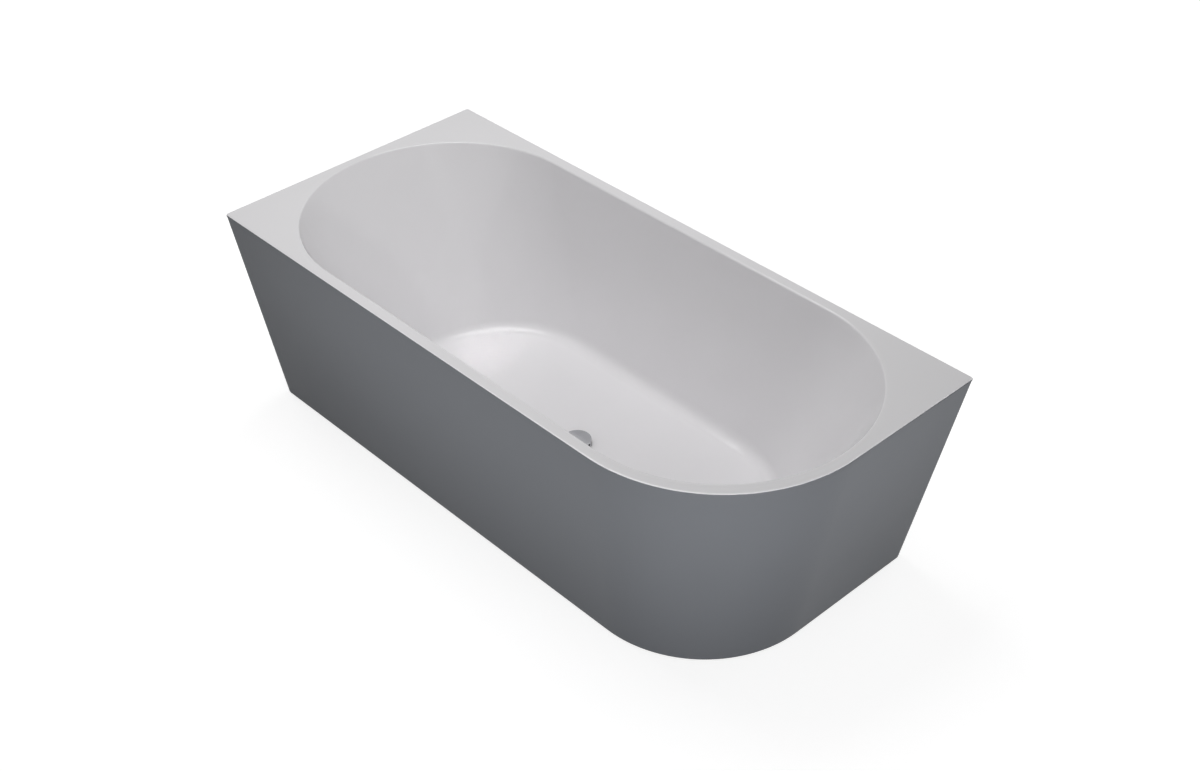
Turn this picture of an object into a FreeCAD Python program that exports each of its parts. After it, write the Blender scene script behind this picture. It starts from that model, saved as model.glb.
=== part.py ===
import FreeCAD, Part
import math
import os
from types import SimpleNamespace

import Sketcher
from FreeCAD import Placement, Rotation, Vector

# Back-to-wall bathtub for a left-hand corner. The origin is the middle of the footprint at floor
# level, +X runs to the free end with the round corner, +Y to the long wall, +Z up. Millimetres.

SIZES = {
    # overall box
    "length": 1700,
    "width": 780,
    "height": 600,
    # plan and lean of the outer skirt
    "front_taper": 96,
    "end_taper": 128,
    "corner_flat": 6,
    "corner_taper": 80,
    "edge_radius_top": 4,
    "edge_radius_base": 24,
    "skirt_wall": 5,
    "skirt_inner_radius": 3,
    "skirt_gap": 4,
    "base_flange_width": 26,
    "base_flange_thickness": 5,
    "top_flange_width": 10,
    "top_flange_thickness": 4,
    # basin and rim deck
    "deck_thickness": 5,
    "deck_edge_radius": 3,
    "rim_side": 30,
    "rim_wall_end": 24,
    "rim_free_end": 29,
    "opening_edge_radius": 6,
    "side_slope": 79,
    "end_slope": 261,
    "floor_height": 146,
    "floor_fall": 4,
    "floor_fillet": 36,
    "shell_wall": 6,
    "shell_floor": 8,
    "landing_radius": 46,
    "landing_stretch": 4,
    # waste fitting
    "waste_flange_radius": 34.5,
    "waste_flange_thickness": 3,
    "waste_flange_bevel": 1,
    "waste_recess_depth": 3.5,
    "waste_recess_gap": 0.5,
    "waste_seat_radius": 23,
    "waste_seat_depth": 5,
    "waste_thread_radius": 25,
    "waste_thread_spare": 3,
    "waste_tail_radius": 23.9,
    "waste_bore_radius": 20.5,
    "waste_length": 80,
    "waste_hole_gap": 0.5,
    "spoke_width": 4,
    "spoke_height": 6,
    "boss_radius": 8,
    "boss_height": 16,
    "washer_radius": 35,
    "washer_thickness": 3,
    "backnut_radius": 36,
    "backnut_height": 10,
    # pop-up plug
    "cap_radius": 35.5,
    "cap_thickness": 3,
    "cap_round": 1,
    "cap_rise": 17,
    "hub_radius": 14,
    "hub_height": 9,
    "seal_radius": 33.5,
    "seal_thickness": 6.2,
    "stem_radius": 4.95,
    "stem_length": 23,
    "stem_socket": 4,
    "stem_tip": 1,
    "cartridge_radius": 9,
    "cartridge_bore_radius": 5,
    "cartridge_height": 24,
    "cartridge_bore_depth": 22,
    "cartridge_drop": 8,
    "cartridge_shank": 12,
    "spring_wire_radius": 0.5,
    "spring_gap": 0.3,
    "spring_side_gap": 0.6,
    # base board
    "board_end_inset": 420,
    "board_side_inset": 200,
    "board_thickness": 16,
    "board_corner_radius": 40,
    "board_hole_radius": 62,
    # steel frame
    "tube_size": 30,
    "tube_wall": 2,
    "tube_round": 3,
    "rail_inset": 40,
    "rail_overhang": 45,
    "bar_corner_inset": 28,
    "end_cap_flange": 2,
    "end_cap_depth": 12,
    "rail_screw_inset": 90,
    "rail_screw_radius": 3,
    "rail_screw_bite": 12,
    "rail_screw_head_radius": 5.8,
    "rail_screw_head_height": 4,
    # brackets that hold the skirt
    "bracket_gap": 2,
    "bracket_sheet": 3,
    "bracket_width": 44,
    "bracket_foot": 20,
    "bracket_bend": 2,
    "bracket_screw_reach": 13,
    "bracket_screw_spread": 26,
    "bracket_screw_radius": 2,
    "bracket_screw_head_radius": 4,
    "bracket_screw_head_height": 2.6,
    "bracket_screw_bite": 4,
    # adjustable feet
    "foot_inset": 36,
    "pad_radius": 25,
    "pad_rim": 4,
    "pad_top_radius": 13,
    "pad_height": 12,
    "pad_socket_depth": 8,
    "stud_radius": 6,
    "stud_stand": 10,
    "stud_tip": 1.5,
    "stud_collar_radius": 9.8,
    "stud_collar_height": 5,
    "nut_radius": 10.9,
    "weld_nut_height": 8,
    "lock_nut_height": 6.5,
    # clearances shared by mating pieces
    "fit_gap": 0.05,
    "thread_gap": 0.1,
    "hole_gap": 0.3,
    "stud_hole_gap": 0.8,
    "turn_gap": 0.3,
}

RAIL_SCREW_STEPS = (-1, 0, 1)
SPRING_TURNS = 5
SPRING_ARCS_PER_TURN = 4
HEX_SIDES = 6
SAME_PLACE = 1e-4

doc = FreeCAD.newDocument("bathtub")
sheet = doc.addObject("Spreadsheet::Sheet", "Sizes")
for row, (alias, number) in enumerate(SIZES.items(), 1):
    sheet.set(f"A{row}", alias)
    sheet.set(f"B{row}", str(number))
    sheet.setAlias(f"B{row}", alias)
doc.recompute()


class Size:
    """A length: its number now, and the expression that ties it to the sheet."""

    def __init__(self, value, text):
        self.value = value
        self.text = text

    def __add__(self, other):
        return Size(self.value + other.value, f"({self.text} + {other.text})")

    def __sub__(self, other):
        return Size(self.value - other.value, f"({self.text} - {other.text})")

    def __mul__(self, other):
        if isinstance(other, Size):
            return Size(self.value * other.value, f"({self.text} * {other.text})")
        return Size(self.value * other, f"({self.text} * {other})")

    def __truediv__(self, other):
        if isinstance(other, Size):
            return Size(self.value / other.value, f"({self.text} / {other.text})")
        return Size(self.value / other, f"({self.text} / {other})")

    def __neg__(self):
        return Size(-self.value, f"(0 - {self.text})")


size = SimpleNamespace(**{alias: Size(sheet.get(alias), f"Sizes.{alias}") for alias in SIZES})
ZERO = Size(0, "0")


def bind(item, sizes):
    """Tie properties of an object to sizes of the sheet."""
    for path, amount in sizes.items():
        item.setExpression(path, amount.text)


def place(item, x, y, z, turn=0, axis=Vector(0, 0, 1)):
    """Put an object at a point, turned about an axis through that point by an angle in degrees."""
    item.Placement = Placement(Vector(x.value, y.value, z.value), Rotation(axis, turn))
    bind(item, {"Placement.Base.x": x, "Placement.Base.y": y, "Placement.Base.z": z})


def lean(amount, level):
    """The share of a taper that the skirt has taken up at a level, none at the rim."""
    return amount * (size.height - level) / size.height


# Levels and places that several pieces share

rim_underside = size.height - size.deck_thickness
floor_low = size.floor_height - size.floor_fall
shell_bottom = floor_low - size.shell_floor
board_bottom = shell_bottom - size.board_thickness
rail_bottom = board_bottom - size.tube_size
bar_bottom = rail_bottom - size.tube_size
weld_nut_bottom = bar_bottom - size.weld_nut_height
lock_nut_bottom = weld_nut_bottom - size.lock_nut_height
flange_top = size.skirt_gap + size.base_flange_thickness

corner_radius_top = size.width / 2 - size.corner_flat
corner_radius_base = corner_radius_top - size.corner_taper
corner_start = size.length / 2 - size.end_taper - corner_radius_base
bar_offset = corner_start - size.bar_corner_inset
rail_length = (bar_offset + size.tube_size / 2 + size.rail_overhang) * 2
rail_screw_pitch = bar_offset - size.rail_screw_inset
board_length = size.length - size.board_end_inset * 2
board_width = size.width - size.board_side_inset * 2
rail_offset = board_width / 2 - size.rail_inset

front_at_flange = size.width / 2 - lean(size.front_taper, flange_top)
bar_front = front_at_flange - size.skirt_wall - size.base_flange_width - size.bracket_gap
bar_back = size.width / 2 - size.skirt_wall - size.base_flange_width - size.bracket_gap
bar_length = bar_front + bar_back

cap_bottom = floor_low + size.cap_rise - size.cap_thickness
hub_bottom = cap_bottom - size.hub_height
stem_top = hub_bottom + size.stem_socket
stem_bottom = stem_top - size.stem_length
cartridge_top = floor_low - size.cartridge_drop
boss_top = cartridge_top - size.cartridge_height
cartridge_bore_bottom = cartridge_top - size.cartridge_bore_depth
recess_bottom = floor_low - size.waste_recess_depth
waste_hole_radius = size.waste_thread_radius + size.waste_hole_gap
backnut_bottom = shell_bottom - size.washer_thickness - size.backnut_height

BARS = {"left": -bar_offset, "right": bar_offset}
RAILS = {"front": -rail_offset, "back": rail_offset}
BAR_ENDS = {"front": -bar_front, "back": bar_back}
FEET_ROWS = {"front": -(bar_front - size.foot_inset), "back": bar_back - size.foot_inset}
BRACKET_TURNS = {"front": 0, "back": 180}


def rail_screw_places():
    """Plan points of the screws that hold the rails to the board."""
    for y in RAILS.values():
        for step in RAIL_SCREW_STEPS:
            yield rail_screw_pitch * step, y


def bracket_screw_places():
    """Plan points of the two screws in the foot of each bracket."""
    rows = {"front": -(bar_front + size.bracket_screw_reach), "back": bar_back + size.bracket_screw_reach}
    for x in BARS.values():
        for y in rows.values():
            yield x - size.bracket_screw_spread / 2, y
            yield x + size.bracket_screw_spread / 2, y


# Sketches

def new_body(label):
    body = doc.addObject("PartDesign::Body", label)
    body.Label = label
    return body


def new_sketch(body, name, plane="XY_Plane", level=ZERO):
    sketch = body.newObject("Sketcher::SketchObject", name)
    support = next(item for item in body.Origin.OriginFeatures if item.Role == plane)
    sketch.AttachmentSupport = (support, [""])
    sketch.MapMode = "FlatFace"
    bind(sketch, {"AttachmentOffset.Base.z": level})
    return sketch


def hold(sketch, kind, places, amount):
    """Add a dimension to a sketch and tie it to a size."""
    index = sketch.addConstraint(Sketcher.Constraint(kind, *places, amount.value))
    name = f"dimension_{index}"
    sketch.renameConstraint(index, name)
    bind(sketch, {f"Constraints.{name}": amount})


def hold_across(sketch, kind, axis, element, end, amount):
    """Set how far a point lies from the origin along one axis, on the side that its sign says."""
    if amount.value == 0:
        sketch.addConstraint(Sketcher.Constraint("PointOnObject", element, end, axis))
    elif amount.value > 0:
        hold(sketch, kind, (-1, 1, element, end), amount)
    else:
        hold(sketch, kind, (element, end, -1, 1), -amount)


def hold_point(sketch, element, end, x, y):
    hold_across(sketch, "DistanceX", -2, element, end, x)
    hold_across(sketch, "DistanceY", -1, element, end, y)


def join_smoothly(sketch, count):
    """Make a ring of edges meet end to end and tangent."""
    for edge in range(count):
        sketch.addConstraint(Sketcher.Constraint("Tangent", edge, 2, (edge + 1) % count, 1))


def line(x0, y0, x1, y1):
    return Part.LineSegment(Vector(x0.value, y0.value, 0), Vector(x1.value, y1.value, 0))


def arc(x, y, radius, start, end):
    circle = Part.Circle(Vector(x.value, y.value, 0), Vector(0, 0, 1), radius.value)
    return Part.ArcOfCircle(circle, math.radians(start), math.radians(end))


def add_polygon(sketch, points):
    """A closed loop of straight lines through points given as pairs of sizes."""
    first = sketch.GeometryCount
    for here, there in zip(points, points[1:] + points[:1]):
        sketch.addGeometry(line(*here, *there))
    for index, (x, y) in enumerate(points):
        following = first + (index + 1) % len(points)
        sketch.addConstraint(Sketcher.Constraint("Coincident", first + index, 2, following, 1))
        hold_point(sketch, first + index, 1, x, y)


def add_rectangle(sketch, across, along):
    """A rectangle about the origin of a sketch."""
    x = across / 2
    y = along / 2
    add_polygon(sketch, [(-x, -y), (x, -y), (x, y), (-x, y)])


def add_circle(sketch, x, y, radius):
    element = sketch.addGeometry(Part.Circle(Vector(x.value, y.value, 0), Vector(0, 0, 1), radius.value))
    hold(sketch, "Radius", (element,), radius)
    hold_point(sketch, element, 3, x, y)


def rounded_plan(body, name, level, left, right, front, back, main_radius, radius):
    """A plan with four straight sides, given by their distances from the origin. The corner
    between the front and the right side has the main radius, the other three the second one."""
    sketch = new_sketch(body, name, level=level)
    sketch.addGeometry([
        line(radius - left, -front, right - main_radius, -front),
        arc(right - main_radius, main_radius - front, main_radius, -90, 0),
        line(right, main_radius - front, right, back - radius),
        arc(right - radius, back - radius, radius, 0, 90),
        line(right - radius, back, radius - left, back),
        arc(radius - left, back - radius, radius, 90, 180),
        line(-left, back - radius, -left, radius - front),
        arc(radius - left, radius - front, radius, 180, 270),
    ], False)
    join_smoothly(sketch, sketch.GeometryCount)
    for kind, edge in (("Horizontal", 0), ("Vertical", 2), ("Horizontal", 4), ("Vertical", 6)):
        sketch.addConstraint(Sketcher.Constraint(kind, edge))
    hold(sketch, "DistanceY", (0, 1, -1, 1), front)
    hold(sketch, "DistanceX", (-1, 1, 2, 1), right)
    hold(sketch, "DistanceY", (-1, 1, 4, 1), back)
    hold(sketch, "DistanceX", (6, 1, -1, 1), left)
    hold(sketch, "Radius", (1,), main_radius)
    for edge in (3, 5, 7):
        hold(sketch, "Radius", (edge,), radius)
    return sketch


def tub_plan(body, name, level, inset, radius):
    """The outline of the tub at a level, moved inwards, with a radius at its three plain corners."""
    return rounded_plan(
        body, name, level,
        left=size.length / 2 - inset,
        right=size.length / 2 - lean(size.end_taper, level) - inset,
        front=size.width / 2 - lean(size.front_taper, level) - inset,
        back=size.width / 2 - inset,
        main_radius=corner_radius_top - lean(size.corner_taper, level) - inset,
        radius=radius,
    )


def outer_edge_radius(level):
    return size.edge_radius_top + lean(size.edge_radius_base - size.edge_radius_top, level)


def inner_edge_radius(level):
    return size.skirt_inner_radius + lean(size.edge_radius_base - size.edge_radius_top, level)


def stadium_plan(body, name, level, left, right, radius):
    """A plan with two straight sides and half-round ends that reach left and right by the sizes."""
    sketch = new_sketch(body, name, level=level)
    sketch.addGeometry([
        line(radius - left, -radius, right - radius, -radius),
        arc(right - radius, ZERO, radius, -90, 90),
        line(right - radius, radius, radius - left, radius),
        arc(radius - left, ZERO, radius, 90, 270),
    ], False)
    join_smoothly(sketch, sketch.GeometryCount)
    for edge in (0, 2):
        sketch.addConstraint(Sketcher.Constraint("Horizontal", edge))
    hold(sketch, "Radius", (1,), radius)
    hold_point(sketch, 1, 3, right - radius, ZERO)
    hold(sketch, "DistanceX", (3, 3, -1, 1), left - radius)
    return sketch


# Features

def pad(body, sketch, length, both_ways=False, downwards=False):
    feature = body.newObject("PartDesign::Pad", f"{sketch.Name}_pad")
    feature.Profile = sketch
    feature.Midplane = both_ways
    feature.Reversed = downwards
    bind(feature, {"Length": length})
    doc.recompute()
    return feature


def pocket(body, sketch, depth):
    """Cut downwards from a sketch, and make sure that something was cut."""
    before = body.Shape.Volume
    feature = body.newObject("PartDesign::Pocket", f"{sketch.Name}_pocket")
    feature.Profile = sketch
    bind(feature, {"Length": depth})
    doc.recompute()
    if not body.Shape.Volume < before:
        raise RuntimeError(f"{feature.Name} cuts nothing")
    return feature


def loft(body, kind, sections):
    feature = body.newObject(f"PartDesign::{kind}Loft", f"{sections[0].Name}_loft")
    feature.Profile = sections[0]
    feature.Sections = [(section, [""]) for section in sections[1:]]
    feature.Ruled = True
    doc.recompute()
    return feature


def revolve(body, points):
    """Turn a profile of (radius, height) points about the vertical axis."""
    sketch = new_sketch(body, f"{body.Name}_profile", "XZ_Plane")
    add_polygon(sketch, points)
    feature = body.newObject("PartDesign::Revolution", f"{body.Name}_turned")
    feature.Profile = sketch
    feature.ReferenceAxis = (sketch, ["V_Axis"])
    doc.recompute()
    return feature


def fillet(body, feature, radius, wanted):
    """Round the edges of a feature that the test picks."""
    names = [f"Edge{index}" for index, edge in enumerate(feature.Shape.Edges, 1) if wanted(edge)]
    rounding = body.newObject("PartDesign::Fillet", f"{feature.Name}_round")
    rounding.Base = (feature, names)
    bind(rounding, {"Radius": radius})
    doc.recompute()
    return rounding


def at_level(level):
    """A test for edges that lie flat at a level."""
    def wanted(edge):
        box = edge.BoundBox
        return max(abs(box.ZMin - level.value), abs(box.ZMax - level.value)) < SAME_PLACE
    return wanted


def among(edges):
    """A test for edges that belong to a list."""
    return lambda edge: any(edge.isSame(other) for other in edges)


def top_face(feature):
    """The highest level face of a feature."""
    faces = [face for face in feature.Shape.Faces if face.BoundBox.ZLength < SAME_PLACE]
    return max(faces, key=lambda face: face.BoundBox.ZMax)


# Solids that are quicker as primitives

def primitive(kind, name, sizes):
    item = doc.addObject(f"Part::{kind}", name)
    bind(item, sizes)
    return item


def cylinder(name, radius, height):
    return primitive("Cylinder", name, {"Radius": radius, "Height": height})


def hexagon(name, radius, height):
    item = primitive("Prism", name, {"Circumradius": radius, "Height": height})
    item.Polygon = HEX_SIDES
    return item


def fuse(name, items):
    item = doc.addObject("Part::MultiFuse", name)
    item.Shapes = items
    return item


def cut(name, base, tool):
    item = doc.addObject("Part::Cut", name)
    item.Base = base
    item.Tool = tool
    return item


def group(label, items):
    """Identical small pieces that share one node and stay separate solids."""
    item = doc.addObject("Part::Compound", label)
    item.Label = label
    item.Links = items
    return item


def ring(label, inner, outer, bottom, height):
    """A flat ring on the axis of the waste."""
    body = new_body(label)
    top = bottom + height
    revolve(body, [(inner, bottom), (outer, bottom), (outer, top), (inner, top)])
    return body


def hex_nut(name, radius, bore, height, x, y, bottom):
    blank = hexagon(f"{name}_blank", radius, height)
    hole = cylinder(f"{name}_hole", bore, height)
    for item in (blank, hole):
        place(item, x, y, bottom)
    return cut(name, blank, hole)


def hex_screw(name, head_radius, head_height, radius, length, x, y, seat, points_up):
    """A screw whose head bears on a seat level and whose shank points up or down."""
    head = hexagon(f"{name}_head", head_radius, head_height)
    shank = cylinder(f"{name}_shank", radius, length)
    turn = 0 if points_up else 180
    head_level = seat - head_height if points_up else seat + head_height
    place(head, x, y, head_level, turn, Vector(1, 0, 0))
    place(shank, x, y, seat, turn, Vector(1, 0, 0))
    return fuse(name, [head, shank])


# Basin and skirt

def basin_plan(body, name, level, side_lean, end_lean, spread):
    """The stadium of the basin: the opening, drawn in by the lean of its walls, moved out by a wall."""
    return stadium_plan(
        body, name, level,
        left=size.length / 2 - size.rim_wall_end - end_lean + spread,
        right=size.length / 2 - size.rim_free_end - end_lean + spread,
        radius=size.width / 2 - size.rim_side - side_lean + spread,
    )


def make_basin_shell():
    body = new_body("basin_shell")
    deck = tub_plan(body, "deck", size.height, ZERO, size.edge_radius_top)
    pad(body, deck, size.deck_thickness, downwards=True)
    loft(body, "Additive", [
        basin_plan(body, "bowl_rim", size.height, ZERO, ZERO, size.shell_wall),
        basin_plan(body, "bowl_base", shell_bottom, size.side_slope, size.end_slope, size.shell_wall),
    ])
    landing_reach = size.landing_radius + size.landing_stretch
    hollow = loft(body, "Subtractive", [
        basin_plan(body, "opening", size.height, ZERO, ZERO, ZERO),
        basin_plan(body, "floor", size.floor_height, size.side_slope, size.end_slope, ZERO),
        stadium_plan(body, "landing", floor_low, landing_reach, landing_reach, size.landing_radius),
    ])
    rounded = fillet(body, hollow, size.floor_fillet, at_level(size.floor_height))
    rounded = fillet(body, rounded, size.floor_fillet + size.shell_wall, at_level(shell_bottom))
    outline = top_face(rounded).OuterWire.Edges
    rounded = fillet(body, rounded, size.deck_edge_radius, among(outline))
    opening = [wire.Edges for wire in top_face(rounded).Wires[1:]]
    fillet(body, rounded, size.opening_edge_radius, among(sum(opening, [])))
    recess = new_sketch(body, "waste_recess", level=floor_low)
    add_circle(recess, ZERO, ZERO, size.waste_flange_radius + size.waste_recess_gap)
    pocket(body, recess, size.waste_recess_depth)
    hole = new_sketch(body, "waste_hole", level=floor_low)
    add_circle(hole, ZERO, ZERO, waste_hole_radius)
    pocket(body, hole, size.shell_floor)
    return body


def make_outer_skirt():
    body = new_body("outer_skirt")
    hollow_top = rim_underside - size.top_flange_thickness
    loft(body, "Additive", [
        tub_plan(body, "skirt_top", rim_underside, ZERO, outer_edge_radius(rim_underside)),
        tub_plan(body, "skirt_base", size.skirt_gap, ZERO, outer_edge_radius(size.skirt_gap)),
    ])
    loft(body, "Subtractive", [
        tub_plan(body, "hollow_top", hollow_top, size.skirt_wall, inner_edge_radius(hollow_top)),
        tub_plan(body, "hollow_base", flange_top, size.skirt_wall, inner_edge_radius(flange_top)),
    ])
    top_inset = size.skirt_wall + size.top_flange_width
    top_mouth = tub_plan(body, "top_mouth", rim_underside, top_inset, size.skirt_inner_radius)
    pocket(body, top_mouth, size.top_flange_thickness)
    base_inset = size.skirt_wall + size.base_flange_width
    base_mouth = tub_plan(body, "base_mouth", flange_top, base_inset, size.skirt_inner_radius)
    pocket(body, base_mouth, size.base_flange_thickness)
    holes = new_sketch(body, "flange_holes", level=flange_top)
    for x, y in bracket_screw_places():
        add_circle(holes, x, y, size.bracket_screw_radius + size.fit_gap)
    pocket(body, holes, size.base_flange_thickness)
    return body


# Board and frame under the basin

def make_base_board():
    body = new_body("base_board")
    plan = rounded_plan(
        body, "board", board_bottom,
        left=board_length / 2,
        right=board_length / 2,
        front=board_width / 2,
        back=board_width / 2,
        main_radius=size.board_corner_radius,
        radius=size.board_corner_radius,
    )
    pad(body, plan, size.board_thickness)
    hole = new_sketch(body, "board_waste_hole", level=shell_bottom)
    add_circle(hole, ZERO, ZERO, size.board_hole_radius)
    pocket(body, hole, size.board_thickness)
    pilots = new_sketch(body, "board_pilots", level=board_bottom + size.rail_screw_bite)
    for x, y in rail_screw_places():
        add_circle(pilots, x, y, size.rail_screw_radius + size.fit_gap)
    pocket(body, pilots, size.rail_screw_bite)
    return body


def make_tube(label, length, hole_places, hole_radius):
    """A square steel tube along its own X axis, with holes down through both walls."""
    body = new_body(label)
    section = new_sketch(body, f"{label}_section", "YZ_Plane")
    add_rectangle(section, size.tube_size, size.tube_size)
    inside = size.tube_size - size.tube_wall * 2
    add_rectangle(section, inside, inside)
    tube = pad(body, section, length)
    corner = size.tube_size.value / 2

    def long_outer_edge(edge):
        box = edge.BoundBox
        at_corner = abs(abs(box.Center.y) - corner) + abs(abs(box.Center.z) - corner) < SAME_PLACE
        return at_corner and box.XLength > SAME_PLACE

    fillet(body, tube, size.tube_round, long_outer_edge)
    holes = new_sketch(body, f"{label}_holes", level=size.tube_size / 2)
    for x in hole_places:
        add_circle(holes, x, ZERO, hole_radius)
    pocket(body, holes, size.tube_size)
    return body


def make_rail(row, y):
    middle = rail_length / 2
    hole_places = [middle + rail_screw_pitch * step for step in RAIL_SCREW_STEPS]
    hole_radius = size.rail_screw_radius + size.hole_gap
    body = make_tube(f"frame_rail_{row}", rail_length, hole_places, hole_radius)
    place(body, -middle, y, rail_bottom + size.tube_size / 2)
    return body


def make_crossbar(side, x):
    hole_places = [size.foot_inset, bar_length - size.foot_inset]
    hole_radius = size.stud_radius + size.stud_hole_gap
    body = make_tube(f"frame_crossbar_{side}", bar_length, hole_places, hole_radius)
    place(body, x, -bar_front, bar_bottom + size.tube_size / 2, 90)
    return body


def make_rail_end_caps():
    """Plastic plugs in the four open ends of the rails."""
    inside = size.tube_size - size.tube_wall * 2 - size.fit_gap * 2
    caps = []
    for row, y in RAILS.items():
        for side, flange_end, plug_end in (
            ("left", -(rail_length / 2 + size.end_cap_flange), -(rail_length / 2)),
            ("right", rail_length / 2, rail_length / 2 - size.end_cap_depth),
        ):
            name = f"end_cap_{row}_{side}"
            flange = primitive("Box", f"{name}_flange", {
                "Length": size.end_cap_flange, "Width": size.tube_size, "Height": size.tube_size})
            place(flange, flange_end, y - size.tube_size / 2, rail_bottom)
            plug = primitive("Box", f"{name}_plug", {
                "Length": size.end_cap_depth, "Width": inside, "Height": inside})
            place(plug, plug_end, y - inside / 2, rail_bottom + (size.tube_size - inside) / 2)
            caps.append(fuse(name, [flange, plug]))
    return group("rail_end_caps", caps)


def make_rail_screws():
    length = size.tube_size + size.rail_screw_bite
    return group("rail_screws", [
        hex_screw(f"rail_screw_{index}", size.rail_screw_head_radius, size.rail_screw_head_height,
                  size.rail_screw_radius, length, x, y, rail_bottom, points_up=True)
        for index, (x, y) in enumerate(rail_screw_places())
    ])


def make_bracket(row, side):
    """A bent steel angle, welded to the end of a crossbar and screwed to the flange of the skirt."""
    body = new_body(f"skirt_bracket_{row}_{side}")
    tall = rail_bottom - flange_top
    thick = size.bracket_sheet
    profile = new_sketch(body, f"{body.Name}_profile", "YZ_Plane")
    add_polygon(profile, [
        (ZERO, ZERO), (ZERO, tall), (-thick, tall), (-thick, thick),
        (-size.bracket_foot, thick), (-size.bracket_foot, ZERO),
    ])
    angle = pad(body, profile, size.bracket_width, both_ways=True)

    def bend_at(y, z):
        def wanted(edge):
            centre = edge.BoundBox.Center
            return abs(centre.y - y.value) + abs(centre.z - z.value) < SAME_PLACE
        return wanted

    angle = fillet(body, angle, size.bracket_bend, bend_at(-thick, thick))
    fillet(body, angle, size.bracket_bend + thick, bend_at(ZERO, ZERO))
    holes = new_sketch(body, f"{body.Name}_holes", level=thick)
    for x in (-size.bracket_screw_spread / 2, size.bracket_screw_spread / 2):
        add_circle(holes, x, -size.bracket_screw_reach, size.bracket_screw_radius + size.hole_gap)
    pocket(body, holes, thick)
    place(body, BARS[side], BAR_ENDS[row], flange_top, BRACKET_TURNS[row])
    return body


def make_bracket_screws():
    length = size.bracket_sheet + size.bracket_screw_bite
    seat = flange_top + size.bracket_sheet
    return group("bracket_screws", [
        hex_screw(f"bracket_screw_{index}", size.bracket_screw_head_radius, size.bracket_screw_head_height,
                  size.bracket_screw_radius, length, x, y, seat, points_up=False)
        for index, (x, y) in enumerate(bracket_screw_places())
    ])


# Adjustable feet

def make_foot_pad(name, x, y):
    body = new_body(f"{name}_pad")
    socket_radius = size.stud_radius + size.turn_gap
    socket_bottom = size.pad_height - size.pad_socket_depth
    revolve(body, [
        (ZERO, ZERO), (size.pad_radius, ZERO), (size.pad_radius, size.pad_rim),
        (size.pad_top_radius, size.pad_height), (socket_radius, size.pad_height),
        (socket_radius, socket_bottom), (ZERO, socket_bottom),
    ])
    place(body, x, y, ZERO)
    return body


def make_foot_stud(name, x, y):
    """A threaded stud that turns in the pad, with a hexagon to turn it by."""
    bottom = size.pad_height - size.pad_socket_depth + size.turn_gap
    tip_bottom = rail_bottom + size.stud_stand - size.stud_tip
    shaft = cylinder(f"{name}_shaft", size.stud_radius, tip_bottom - bottom)
    place(shaft, x, y, bottom)
    tip = primitive("Cone", f"{name}_tip", {
        "Radius1": size.stud_radius, "Radius2": size.stud_radius - size.stud_tip, "Height": size.stud_tip})
    place(tip, x, y, tip_bottom)
    collar = hexagon(f"{name}_collar", size.stud_collar_radius, size.stud_collar_height)
    place(collar, x, y, size.pad_height)
    stud = fuse(f"{name}_stud", [shaft, tip, collar])
    stud.Label = f"{name}_stud"
    return stud


def make_foot_nut(label, height, x, y, bottom):
    nut = hex_nut(label, size.nut_radius, size.stud_radius + size.thread_gap, height, x, y, bottom)
    nut.Label = label
    return nut


def make_feet():
    pieces = []
    for row, y in FEET_ROWS.items():
        for side, x in BARS.items():
            name = f"foot_{row}_{side}"
            pieces += [
                make_foot_pad(name, x, y),
                make_foot_stud(name, x, y),
                make_foot_nut(f"{name}_weld_nut", size.weld_nut_height, x, y, weld_nut_bottom),
                make_foot_nut(f"{name}_lock_nut", size.lock_nut_height, x, y, lock_nut_bottom),
            ]
    return pieces


# Waste fitting and pop-up plug

def make_waste_body():
    """The flange, the thread for its nut and the narrower tail for the drain, with a cross inside
    whose boss holds the pop-up cartridge."""
    body = new_body("waste_body")
    flange_bottom = floor_low - size.waste_flange_thickness
    thread_bottom = backnut_bottom - size.waste_thread_spare
    tail_bottom = floor_low - size.waste_length
    revolve(body, [
        (size.waste_seat_radius, floor_low),
        (size.waste_flange_radius - size.waste_flange_bevel, floor_low),
        (size.waste_flange_radius, floor_low - size.waste_flange_bevel),
        (size.waste_flange_radius, flange_bottom), (size.waste_thread_radius, flange_bottom),
        (size.waste_thread_radius, thread_bottom), (size.waste_tail_radius, thread_bottom),
        (size.waste_tail_radius, tail_bottom), (size.waste_bore_radius, tail_bottom),
        (size.waste_bore_radius, floor_low - size.waste_seat_depth),
    ])
    spoke = new_sketch(body, "spoke", level=boss_top - size.spoke_height)
    add_rectangle(spoke, size.waste_bore_radius + size.waste_tail_radius, size.spoke_width)
    arm = pad(body, spoke, size.spoke_height)
    cross = body.newObject("PartDesign::PolarPattern", "cross")
    cross.Originals = [arm]
    cross.Axis = (spoke, ["N_Axis"])
    cross.Angle = 90
    cross.Occurrences = 2
    body.Tip = cross
    doc.recompute()
    boss = new_sketch(body, "boss", level=boss_top)
    add_circle(boss, ZERO, ZERO, size.boss_radius)
    pad(body, boss, size.boss_height, downwards=True)
    thread = new_sketch(body, "boss_thread", level=boss_top)
    add_circle(thread, ZERO, ZERO, size.cartridge_bore_radius + size.fit_gap)
    pocket(body, thread, size.cartridge_shank + size.hole_gap)
    return body


def make_waste_rings():
    gasket_height = size.waste_recess_depth - size.waste_flange_thickness
    gasket = ring("waste_flange_gasket", waste_hole_radius, size.waste_flange_radius,
                  recess_bottom, gasket_height)
    washer = ring("waste_washer", waste_hole_radius, size.washer_radius,
                  shell_bottom - size.washer_thickness, size.washer_thickness)
    backnut = hex_nut("waste_backnut", size.backnut_radius, size.waste_thread_radius + size.fit_gap,
                      size.backnut_height, ZERO, ZERO, backnut_bottom)
    backnut.Label = "waste_backnut"
    return [gasket, washer, backnut]


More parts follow.
